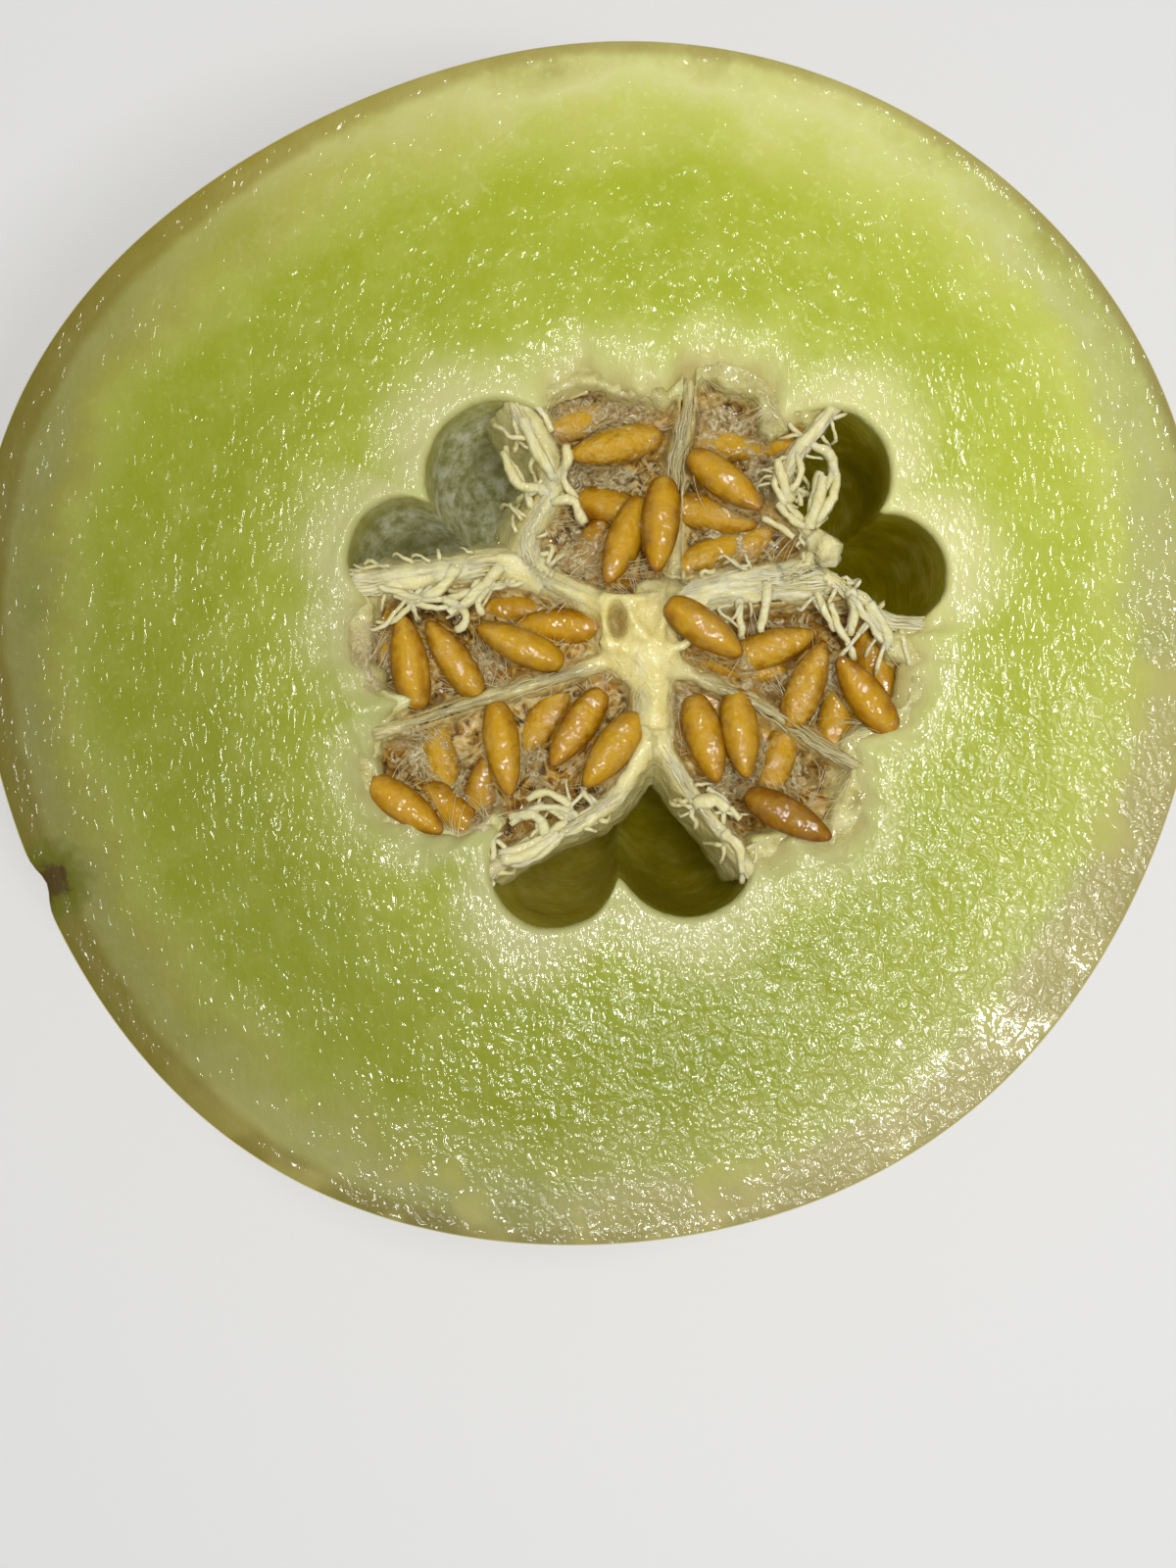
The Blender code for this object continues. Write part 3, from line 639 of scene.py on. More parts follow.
# Seed-bearing tissue. Each wall: width, then x, y and drop below the cut, in mm.
walls = {
    "coreTongue": (4.6, [(7.5, 2.0, 0.6), (8.0, -5.0, 0.8), (8.2, -12.0, 1.6)]),
    "upperLeftA": (1.8, [(5.0, 3.5, 0.8), (-1.0, 6.2, 1.4), (-6.0, 9.0, 1.8), (-7.6, 13.6, 1.6),
                         (-4.6, 19.0, 1.4), (-5.4, 24.5, 1.2), (-8.4, 29.0, 1.0), (-9.8, 34.0, 1.0)]),
    "upperLeftB": (2.6, [(-5.0, 8.2, 1.8), (-10.5, 9.8, 1.6), (-16.5, 9.2, 1.6), (-22.0, 8.4, 1.4),
                         (-27.0, 7.6, 1.0), (-33.0, 7.4, 0.8)]),
    "rightD": (4.0, [(10.0, 5.0, 0.8), (17.0, 6.8, 1.0), (24.0, 7.6, 1.2), (30.0, 8.2, 1.4)]),
    "rightDEnd": (2.0, [(30.0, 8.2, 1.4), (34.0, 5.6, 1.6), (37.5, 2.9, 1.6), (42.0, 2.4, 1.4)]),
    "rightC": (2.0, [(25.0, 7.8, 1.4), (28.2, 11.6, 1.2), (26.6, 15.4, 1.6), (24.6, 18.4, 2.2),
                     (25.4, 22.6, 1.8), (28.4, 26.4, 1.0), (31.0, 30.0, 1.0)]),
    "bottomE": (2.2, [(8.2, -11.0, 1.6), (11.0, -15.8, 1.8), (13.8, -20.2, 1.4), (17.2, -24.0, 1.4),
                      (20.0, -28.0, 1.4), (21.6, -32.0, 1.2)]),
    "bottomF": (2.2, [(8.0, -11.0, 1.6), (5.0, -17.4, 1.6), (0.8, -21.4, 1.4), (-4.8, -24.2, 1.2),
                      (-10.4, -27.2, 1.0), (-14.0, -30.0, 0.8)]),
    "topSeptum": (2.2, [(9.4, 3.0, 0.6), (10.8, 9.0, 2.6), (11.0, 16.0, 3.0), (11.0, 22.0, 1.6),
                        (12.2, 28.0, 0.8), (13.0, 36.0, 0.6)]),
    "leftSeptum": (1.9, [(5.0, -1.2, 0.8), (-4.8, -4.6, 1.4), (-14.6, -7.4, 1.4), (-24.0, -10.6, 0.9),
                         (-32.0, -13.0, 0.7)]),
    "rightSeptum": (1.8, [(10.0, -2.4, 0.8), (17.0, -5.6, 1.6), (23.0, -8.6, 1.8), (29.0, -12.6, 1.2),
                          (35.0, -16.0, 0.8)]),
}

tissue = {
    "fineDepth": 14.0 * mm,
    "overlap": 2.0 * mm,
    "voxel": 0.45 * mm,
    "outerEnd": 1.2 * mm,  # how far the walls run into the flesh
    "widthWander": 0.28,
    "lipWander": 0.45 * mm,
    "bellies": {"upperLeftA": 3.2, "upperLeftB": -1.8, "bottomE": -2.0, "bottomF": 1.8},  # in mm
    "widen": {"rightD": 1.3, "upperLeftB": 1.5, "upperLeftA": 1.7, "coreTongue": 1.1, "rightC": 1.15},
    "coreRadius": 5.2 * mm,
    "coreDrop": 0.5 * mm,
    "pit": (3.7, 2.8, 1.3, 2.4, 1.8),  # x, y, half widths and depth in mm
    "joint": (8.4, 5.8, 2.6, 1.2),  # x, y, radius and drop where the top septum meets the core
    "jellySmoothing": 14,
    "fold": 0.28 * mm,
    "groove": 0.07 * mm,
    "lump": 0.16 * mm,
    "columnSides": 40,
    "columnWobble": 0.16,
    "slimmer": 0.3 * mm,  # how much the deep part of a wall is thinner on each side
    "deepest": 31 * mm,
    "septumWidth": (0.72, 0.9, 6 * mm),  # at its end, what the core's side adds, and how far that reaches
    "bellyBand": (0.6 * mm, 9 * mm),
    "seed": 11,
}
wallTone = {  # white fibre, yellow jelly and tan skin of each wall
    "coreTongue": (0.15, 0.75, 0.0), "upperLeftA": (0.3, 0.25, 0.0), "upperLeftB": (0.6, 0.15, 0.0),
    "rightD": (0.95, 0.0, 0.0), "rightDEnd": (0.9, 0.05, 0.0), "rightC": (0.7, 0.3, 0.0),
    "bottomE": (0.6, 0.3, 0.0), "bottomF": (0.65, 0.35, 0.0), "topSeptum": (0.1, 0.35, 0.7),
    "leftSeptum": (0.25, 0.1, 0.8), "rightSeptum": (0.25, 0.1, 0.9),
}
# thick strands: x, y and drop along each in mm, then the root's and the tip's radius
fingers = [
    ([(-8.0, 28.0, 1.4), (-6.6, 24.4, 0.8), (-4.0, 20.4, 1.0)], 0.8, 0.7),
    ([(-4.6, 19.0, 2.0), (-8.6, 20.0, 1.6), (-10.8, 24.2, 2.6)], 0.8, 0.55),
    ([(-4.0, 20.0, 2.2), (-2.6, 22.6, 1.0), (-2.8, 24.6, 0.8)], 0.75, 0.6),
    ([(-16.5, 9.4, 1.8), (-19.0, 6.4, 1.4), (-22.6, 5.4, 1.8)], 0.9, 0.5),
    ([(-11.0, 9.6, 2.0), (-14.0, 6.2, 1.4), (-17.4, 3.6, 1.6)], 0.9, 0.6),
    ([(27.6, 14.4, 1.6), (28.6, 17.6, 0.9), (29.2, 20.6, 0.6)], 0.85, 0.7),
    ([(28.4, 15.0, 2.0), (31.0, 19.4, 1.6), (30.2, 23.6, 1.4), (28.0, 24.9, 1.6)], 0.75, 0.6),
    ([(25.4, 18.0, 2.2), (24.2, 20.4, 1.0), (23.6, 22.8, 0.9)], 0.8, 0.6),
    ([(28.6, 12.8, 1.6), (29.8, 11.4, -0.4), (29.9, 10.4, 0.8)], 1.6, 1.7),
    ([(33.0, 6.6, 1.6), (33.2, 3.6, 1.4), (32.9, 1.2, 2.2)], 0.8, 0.6),
    ([(35.0, 5.0, 1.6), (37.4, 1.4, 1.4), (37.2, -0.6, 2.2)], 0.8, 0.6),
    ([(22.6, 7.6, 1.4), (22.0, 3.8, 1.6), (21.8, 1.6, 2.4)], 0.7, 0.5),
    ([(19.2, 7.0, 1.4), (19.0, 3.6, 1.8), (19.4, 0.6, 2.6)], 0.6, 0.45),
    ([(-10.6, -27.0, 1.2), (-7.4, -26.4, 0.8), (-3.6, -23.8, 1.0)], 0.9, 0.7),
    ([(-5.0, -24.0, 1.2), (-6.8, -21.4, 1.2), (-9.8, -21.8, 1.8)], 0.8, 0.6),
    ([(13.4, -20.0, 1.6), (15.6, -19.6, 0.8), (17.4, -20.6, 1.2)], 1.1, 0.7),
    ([(17.0, -23.8, 1.6), (18.6, -25.2, 0.8), (19.4, -28.6, 1.6)], 0.9, 0.5),
]
# further long strands that hang free, with the same numbers
loose = [
    ([(-7.1, 26.1, 1.6), (-6.5, 23.8, 1.4), (-5.0, 21.8, 1.2), (-3.7, 20.2, 1.6)], 0.5, 0.55),
    ([(-10.4, 25.1, 3.4), (-10.1, 23.1, 3.0), (-8.6, 21.3, 2.6), (-7.6, 19.2, 2.4), (-7.2, 17.0, 2.6)],
     0.45, 0.5),
    ([(-2.5, 24.1, 1.8), (-3.0, 21.8, 1.4), (-2.7, 19.7, 1.3), (-1.4, 18.2, 2.0)], 0.5, 0.5),
    ([(-4.6, 17.6, 1.4), (-1.9, 17.9, 1.2), (-1.2, 16.4, 1.6), (-0.4, 15.2, 2.2)], 0.6, 0.65),
    ([(-9.4, 29.4, 1.4), (-8.8, 26.6, 2.2), (-9.2, 24.4, 3.6)], 0.45, 0.35),
    ([(-8.6, 31.0, 1.2), (-6.0, 29.0, 1.0), (-4.4, 26.4, 1.2)], 0.5, 0.4),
    ([(23.9, 22.6, 1.6), (23.4, 19.7, 1.2), (24.7, 17.4, 1.6)], 0.42, 0.5),
    ([(25.9, 24.2, 1.8), (26.6, 21.3, 1.4), (25.1, 18.7, 1.6)], 0.45, 0.45),
    ([(30.0, 24.2, 1.6), (30.6, 21.3, 1.6), (28.8, 17.7, 1.6), (27.9, 15.0, 1.8)], 0.5, 0.5),
    ([(29.0, 21.2, 1.0), (28.2, 18.4, 1.3), (27.7, 16.0, 1.6)], 0.65, 0.42),
    ([(27.0, 14.6, 1.2), (25.2, 15.6, 1.2), (23.6, 17.6, 1.6)], 0.5, 0.45),
    ([(25.6, 13.2, 1.2), (24.0, 14.6, 1.3), (21.8, 15.6, 2.0)], 0.45, 0.4),
    ([(30.3, 4.9, 1.2), (31.3, 1.8, 1.4), (32.8, -0.2, 2.0), (33.4, -1.7, 2.8)], 0.5, 0.45),
    ([(32.8, 5.9, 1.2), (34.9, 2.9, 1.2), (36.9, 0.3, 2.0)], 0.5, 0.5),
    ([(34.4, 3.9, 1.4), (36.4, 2.0, 1.5), (38.2, -0.2, 2.2)], 0.5, 0.45),
    ([(28.6, 6.4, 1.0), (29.8, 3.4, 1.2), (31.0, 1.6, 2.0)], 0.5, 0.4),
    ([(-11.1, -26.3, 1.2), (-7.6, -25.3, 0.9), (-4.5, -23.7, 1.0), (-2.9, -22.2, 1.4)], 0.55, 0.5),
    ([(-7.6, -19.6, 2.0), (-6.0, -18.6, 1.6), (-4.0, -19.1, 1.4), (-2.2, -20.4, 1.4)], 0.5, 0.55),
    ([(-9.6, -22.7, 1.8), (-7.0, -20.7, 1.4), (-4.4, -20.4, 1.3), (-2.2, -21.2, 1.4)], 0.5, 0.5),
    ([(-11.8, -27.2, 1.2), (-8.5, -27.6, 1.2), (-5.5, -26.2, 1.0), (-3.0, -23.6, 1.2)], 0.55, 0.55),
    ([(-26.0, 7.0, 1.2), (-21.6, 5.6, 1.4), (-17.6, 5.6, 1.6), (-14.6, 6.4, 1.6)], 0.5, 0.45),
    ([(-24.4, 6.0, 1.6), (-20.0, 4.6, 1.8), (-16.4, 4.4, 2.0)], 0.45, 0.4),
    ([(-18.2, 5.6, 1.4), (-15.6, 4.2, 1.6), (-15.4, 2.6, 2.0), (-16.8, 1.8, 2.4)], 0.6, 0.55),
    ([(-12.6, 7.0, 1.4), (-13.8, 5.0, 1.6), (-13.2, 3.6, 2.0)], 0.55, 0.5),
    ([(18.6, -25.0, 1.2), (19.6, -27.6, 1.8), (19.2, -30.0, 2.6)], 0.5, 0.4),
    ([(15.0, -18.2, 1.4), (17.0, -19.6, 1.2), (19.0, -22.0, 1.6)], 0.45, 0.4),
]
# ridges on the core and round its pit, with the same numbers
ridges = [
    ([(4.6, 4.0, 0.5), (6.6, 1.2, 0.2), (8.2, -1.6, 0.4), (8.5, -6.0, 0.8), (8.1, -10.5, 1.3)], 0.9, 0.7),
    ([(10.8, 4.6, 0.8), (9.2, 1.6, 0.4), (9.4, -2.6, 0.8), (9.8, -7.4, 1.4)], 0.8, 0.5),
    ([(1.6, 5.4, 1.0), (4.4, 5.6, 0.6), (6.6, 5.4, 0.5), (9.4, 6.2, 0.9)], 0.75, 0.6),
    ([(1.2, 0.4, 1.1), (3.2, -0.8, 0.7), (6.4, -1.4, 0.5), (7.6, -4.0, 0.8)], 0.65, 0.6),
    ([(3.2, 5.4, 0.7), (1.9, 3.6, 0.7), (2.1, 1.6, 0.8), (3.2, 0.2, 0.8)], 0.55, 0.5),
    ([(4.6, 5.2, 0.6), (5.5, 3.2, 0.5), (5.3, 1.4, 0.6), (4.2, 0.2, 0.7)], 0.55, 0.5),
    ([(10.4, -0.6, 0.8), (13.0, 0.6, 0.6), (13.6, 4.0, 0.7), (15.4, 6.0, 0.9)], 0.6, 0.5),
    ([(6.9, -3.0, 1.0), (7.0, -7.0, 1.2), (6.8, -11.0, 1.8)], 0.5, 0.45),
]
# strands laid along the walls: wall, count, stretch of its length, run and radius in mm
folds = [
    ("upperLeftA", 8, (0.0, 0.8), (6, 14), (0.35, 0.6)),
    ("upperLeftB", 7, (0.0, 0.8), (6, 14), (0.35, 0.6)),
    ("rightD", 9, (0.0, 0.7), (6, 14), (0.35, 0.6)),
    ("rightC", 5, (0.0, 0.8), (5, 10), (0.3, 0.5)),
    ("bottomE", 5, (0.0, 0.8), (5, 10), (0.3, 0.5)),
    ("bottomF", 5, (0.0, 0.8), (6, 12), (0.3, 0.5)),
    ("coreTongue", 5, (0.0, 0.5), (6, 12), (0.5, 0.8)),
    ("rightDEnd", 3, (0.0, 0.6), (4, 8), (0.3, 0.45)),
]
threads = [
    ("upperLeftA", 34, (0.1, 0.95), (4, 12), (0.1, 0.24)),
    ("upperLeftB", 34, (0.1, 0.95), (4, 12), (0.1, 0.26)),
    ("rightD", 46, (0.0, 0.9), (4, 12), (0.1, 0.22)),
    ("rightC", 24, (0.0, 0.9), (3, 9), (0.1, 0.22)),
    ("rightDEnd", 16, (0.0, 0.8), (3, 8), (0.12, 0.26)),
    ("bottomE", 20, (0.1, 0.9), (4, 9), (0.1, 0.22)),
    ("bottomF", 26, (0.2, 0.95), (4, 10), (0.1, 0.26)),
    ("coreTongue", 8, (0.3, 0.9), (3, 8), (0.1, 0.2)),
    ("topSeptum", 16, (0.1, 0.9), (4, 12), (0.08, 0.18)),
    ("leftSeptum", 14, (0.1, 0.9), (4, 12), (0.08, 0.16)),
    ("rightSeptum", 14, (0.1, 0.9), (4, 12), (0.08, 0.16)),
]
# smaller strands by rule: wall, count, stretch of its length and side,
# then reach out, run along, fall and radius in mm
frills = [
    ("upperLeftA", 9, (0.45, 0.95), 1, (0.8, 2.6), (-4.5, 4.5), (1.5, 6.0), (0.28, 0.5)),
    ("upperLeftA", 6, (0.3, 0.7), -1, (0.6, 2.2), (-2.5, 2.5), (0.5, 2.0), (0.25, 0.45)),
    ("upperLeftB", 12, (0.1, 0.85), 1, (0.8, 3.6), (-2.0, 9.0), (0.2, 1.8), (0.3, 0.55)),
    ("upperLeftB", 6, (0.3, 0.95), -1, (0.2, 0.9), (-3.0, 5.0), (0.2, 1.2), (0.25, 0.4)),
    ("rightD", 12, (0.05, 0.95), -1, (0.6, 2.4), (-4.0, 4.0), (0.4, 2.4), (0.22, 0.4)),
    ("rightD", 8, (0.1, 0.9), 1, (0.2, 1.2), (-4.0, 4.0), (0.2, 1.6), (0.25, 0.45)),
    ("rightDEnd", 9, (0.1, 0.9), -1, (1.5, 5.0), (-1.0, 3.0), (0.5, 3.0), (0.28, 0.5)),
    ("rightDEnd", 4, (0.1, 0.6), 1, (0.5, 1.6), (-1.0, 2.0), (0.5, 3.0), (0.28, 0.45)),
    ("rightC", 12, (0.2, 0.95), -1, (0.8, 3.2), (-3.5, 5.0), (1.0, 6.0), (0.25, 0.45)),
    ("rightC", 9, (0.1, 0.8), 1, (0.6, 2.2), (-2.5, 2.5), (0.4, 2.0), (0.22, 0.4)),
    ("bottomF", 14, (0.35, 1.0), -1, (0.8, 3.6), (-4.0, 4.0), (0.2, 1.6), (0.3, 0.55)),
    ("bottomF", 6, (0.4, 1.0), 1, (0.3, 1.4), (-3.0, 3.0), (0.6, 2.5), (0.28, 0.5)),
    ("bottomE", 8, (0.3, 1.0), 1, (0.6, 2.0), (-3.0, 4.0), (0.3, 2.0), (0.25, 0.45)),
    ("bottomE", 6, (0.3, 1.0), -1, (0.4, 1.6), (-3.0, 3.0), (1.0, 4.0), (0.25, 0.45)),
]


def wallStations(name, samples=6):
    width, route = walls[name]
    path = smoothRoute(route, samples) * mm
    offset = path[:, :2] - np.array(melon["hollowCentre"])
    reach = hollowRadius(np.arctan2(offset[:, 1], offset[:, 0])) + tissue["outerEnd"]
    path = path[np.hypot(offset[:, 0], offset[:, 1]) < reach]
    ahead = np.gradient(path[:, :2], axis=0)
    ahead /= np.linalg.norm(ahead, axis=1)[:, None]
    side = np.column_stack([-ahead[:, 1], ahead[:, 0]])
    steps = np.linalg.norm(np.diff(path[:, :2], axis=0), axis=1)
    along = np.concatenate([[0], np.cumsum(steps)])
    return path, side, along, width * tissue["widen"].get(name, 1.0) * mm


def wallChunk(name, deep=False):
    path, side, along, width = wallStations(name)
    order = list(walls).index(name)
    where = np.column_stack([along, np.full(len(along), order * 30 * mm), np.zeros(len(along))])
    half = width / 2 * (1 + tissue["widthWander"] * layeredNoise(where, 3.5 * mm, 3, 2))
    if "Septum" in name:
        least, added, reach = tissue["septumWidth"]
        half *= least + added * np.exp(-along / reach)
    top = cutHeight - path[:, 2] + tissue["lipWander"] * layeredNoise(where, 2.5 * mm, 8, 2)
    belly = tissue["bellies"].get(name, 0) * mm
    roundSteps, sideSteps, deepSteps = 6, 9, 8
    rings = []
    for k in range(len(path)):
        if deep:
            low = max(hollowFloor(*path[k : k + 1, :2].T)[0] + 0.4 * mm, tissue["deepest"])
            high = cutHeight - tissue["fineDepth"] + tissue["overlap"]
            levels = np.linspace(min(low, high - 1 * mm), high, deepSteps)
            depth = top[k] - levels
            wide = np.full(len(levels), max(half[k] - tissue["slimmer"], 0.4 * mm))
            wide = wide * (0.85 + 0.15 * smoothStep(low, high, levels))
        else:
            turns = np.radians(np.linspace(90, 0, roundSteps))
            straight = np.linspace(1.6, tissue["fineDepth"] / mm, sideSteps) * mm
            depth = np.concatenate([half[k] * (1 - np.sin(turns)), straight])
            wide = np.concatenate([half[k] * np.cos(turns), np.full(sideSteps, half[k])])
            levels = top[k] - depth
        lean = belly * smoothStep(*tissue["bellyBand"], depth)
        left = lean if belly > 0 else 0 * lean
        right = -lean if belly < 0 else 0 * lean
        push = np.concatenate([(wide + left)[::-1], (-wide - right)[1:] if not deep else -wide - right])
        levels = np.concatenate([levels[::-1], levels[1:] if not deep else levels])
        if deep:
            levels[: len(levels) // 2] = levels[len(levels) // 2 :][::-1]
        rings.append(np.column_stack([path[k, :2] + side[k] * push[:, None], levels]))
    return ringChunk(np.array(rings))


def columnChunk(centre, radius, top, low, seed):
    sides = tissue["columnSides"]
    turn = np.arange(sides) * 2 * math.pi / sides
    ray = np.column_stack([np.cos(turn), np.sin(turn)])
    wobble = 1 + tissue["columnWobble"] * softNoise(atHeight(ray * 1.3, 0.0), 1.0, seed)
    rings = []
    for lift in np.radians([85, 70, 50, 30, 12]):
        height = top - radius * 0.35 * (1 - math.sin(lift))
        flat = centre + ray * (radius * math.cos(lift) * wobble)[:, None]
        rings.append(atHeight(flat, height))
    for height in np.linspace(top - radius * 0.5, low, 12):
        rings.append(atHeight(centre + ray * (radius * wobble)[:, None], height))
    return ringChunk(np.array(rings))


def pathObject(name, paths):
    # polylines as loose edges, with each point's thickness as an attribute
    verts, edges, thick, start = [], [], [], 0
    for points, radii in paths:
        verts += [list(p) for p in points]
        edges += [[start + k, start + k + 1] for k in range(len(points) - 1)]
        thick += list(radii)
        start += len(points)
    mesh = bpy.data.meshes.new(name)
    mesh.from_pydata(verts, edges, [])
    setAttribute(mesh, "thickness", thick)
    return addObject(name, mesh)


def newTree(name, wanted, result):
    tree = bpy.data.node_groups.new(name, "GeometryNodeTree")
    shading["tree"] = tree
    for label, kind, value in wanted:
        socket = tree.interface.new_socket(label, in_out="INPUT", socket_type="NodeSocket" + kind)
        if value is not None:
            socket.default_value = value
    tree.interface.new_socket(result, in_out="OUTPUT", socket_type="NodeSocketGeometry")
    return tree, addNode("NodeGroupInput").outputs, addNode("NodeGroupOutput").inputs


def shaped(kind, geometry, **inputs):
    return addNode("GeometryNode" + kind, {"Geometry": geometry, **inputs}).outputs[0]


def namedVector(name):
    return addNode("GeometryNodeInputNamedAttribute", {"Name": name}, data_type="FLOAT_VECTOR").outputs[0]


def strandTree():
    # tubes along loose edges, each wandering a little off its path
    tree, given, result = newTree("strandsAlongPaths", [("Paths", "Geometry", None),
            ("Spacing", "Float", 0.0005), ("Wander", "Float", 0.0002), ("Wander Size", "Float", 0.003),
            ("Sides", "Int", 8), ("Seed", "Float", 0.0), ("Finish", "Material", None)], "Strands")
    curve = addNode("GeometryNodeMeshToCurve", {"Mesh": given["Paths"]}).outputs["Curve"]
    curve = addNode("GeometryNodeResampleCurve", {"Curve": curve, "Length": given["Spacing"]},
            mode="LENGTH").outputs["Curve"]
    spot = addNode("GeometryNodeInputPosition").outputs[0]
    noise = addNode("ShaderNodeTexNoise", {"Vector": spot, "W": given["Seed"],
            "Scale": calc("DIVIDE", 1.0, given["Wander Size"]), "Detail": 2.0},
            noise_dimensions="4D").outputs["Color"]
    centred = addNode("ShaderNodeVectorMath", operation="SUBTRACT")
    feed(centred.inputs[0], noise)
    centred.inputs[1].default_value = (0.5, 0.5, 0.5)
    offset = addNode("ShaderNodeVectorMath", {"Scale": times(given["Wander"], 4.0)}, operation="SCALE")
    feed(offset.inputs[0], centred.outputs[0])
    curve = shaped("SetPosition", curve, Offset=offset.outputs[0])
    girth = addNode("GeometryNodeInputNamedAttribute", {"Name": "thickness"}).outputs["Attribute"]
    circle = addNode("GeometryNodeCurvePrimitiveCircle", {"Resolution": given["Sides"], "Radius": 1.0})
    tube = addNode("GeometryNodeCurveToMesh", {"Curve": curve, "Profile Curve": circle.outputs["Curve"],
            "Scale": girth, "Fill Caps": True}).outputs[0]
    tube = shaped("RealizeInstances", shaped("SetShadeSmooth", tube))
    feed(result[0], shaped("SetMaterial", tube, Material=given["Finish"]))
    return tree


def grow(source, tree, values):
    # runs the tree on the source object, and gives back the plain mesh it makes
    modifier = source.modifiers.new("grow", "NODES")
    modifier.node_group = tree
    for item in tree.interface.items_tree:
        if item.item_type == "SOCKET" and item.in_out == "INPUT" and item.name in values:
            modifier[item.identifier] = values[item.name]
    mesh = evaluatedMesh(source)
    source.modifiers.remove(modifier)
    bpy.data.objects.remove(source)
    return mesh


def meshChunk(mesh, slot=0, **attributes):
    counts = np.empty(len(mesh.polygons), np.int32)
    mesh.polygons.foreach_get("loop_total", counts)
    corners = np.empty(len(mesh.loops), np.int32)
    mesh.loops.foreach_get("vertex_index", corners)
    faces = [part.tolist() for part in np.split(corners, np.cumsum(counts)[:-1])]
    return {"verts": meshVectors(mesh), "faces": faces, "slot": slot, "values": attributes}


strands = strandTree()


def handPaths(rows):
    paths = []
    for knots, root, tip in rows:
        points = smoothRoute(knots, 4) * mm
        points[:, 2] = cutHeight - points[:, 2]
        share = np.linspace(0, 1, len(points))
        paths.append((points, (root + (tip - root) * share) * mm
                * (1 + 0.15 * np.sin(share * 11 + root * 9))))
    return paths


def laidPaths(rows, rng):
    # strands that lie along the tops of the walls
    paths = []
    for name, count, (start, end), run, radius in rows:
        path, side, along, width = wallStations(name, 12)
        half = width / 2
        for _ in range(count):
            k = int(rng.uniform(start, end) * (len(path) - 1))
            reach = rng.uniform(*run) * mm
            thick = rng.uniform(*radius) * mm
            offset, drift = rng.uniform(-0.85, 0.85), rng.normal(0, 0.35)
            points, radii = [], []
            while k < len(path) and (not points or along[k] - along[first] < reach):
                first = k if not points else first
                share = (along[k] - along[first]) / reach
                across = np.clip(offset + drift * share, -0.95, 0.95)
                spot = path[k, :2] + side[k] * across * half
                crown = half * (1 - math.sqrt(1 - across**2))
                points.append([*spot, cutHeight - path[k, 2] - crown])
                radii.append(thick * (0.6 + 0.4 * math.sin(math.pi * min(share, 1))))
                k += 2
            if len(points) > 3:
                paths.append((points, radii))
    return paths


frillForm = {
    "reachOut": 1.25,
    "thinner": 0.85,
    "root": 0.42,  # share of the wall's width
    "sway": 0.6 * mm,
    "rise": 0.6 * mm,
    "below": 0.3 * mm,
    "points": 10,
}


def frillPaths(rng):
    f = frillForm
    paths = []
    for name, count, (start, end), sideSign, reach, run, fall, radius in frills:
        path, side, along, width = wallStations(name, 12)
        for _ in range(count):
            k = int(rng.uniform(start, end) * (len(path) - 1))
            ahead = np.array([side[k, 1], -side[k, 0]])
            out = rng.uniform(*reach) * f["reachOut"] * mm
            length = rng.uniform(*run) * mm
            depth = rng.uniform(*fall) * mm
            thick = rng.uniform(*radius) * f["thinner"] * mm
            root = path[k, :2] + side[k] * sideSign * width * f["root"]
            points, radii = [], []
            curl = rng.uniform(-1.2, 1.2)
            for t in np.linspace(0, 1, f["points"]):
                sway = math.sin(t * 6 + curl * 3) * f["sway"] * t
                aside = out * math.sin(t * 1.57) + sway
                spot = root + side[k] * sideSign * aside + ahead * length * t**1.2
                rise = f["rise"] * math.sin(t * math.pi)
                points.append([*spot, cutHeight - path[k, 2] - f["below"] + rise - depth * t**1.6])
                radii.append(thick * (1.0 - 0.25 * t + 0.25 * math.sin(t * 9 + curl * 5) * t))
            paths.append((points, radii))
    return paths


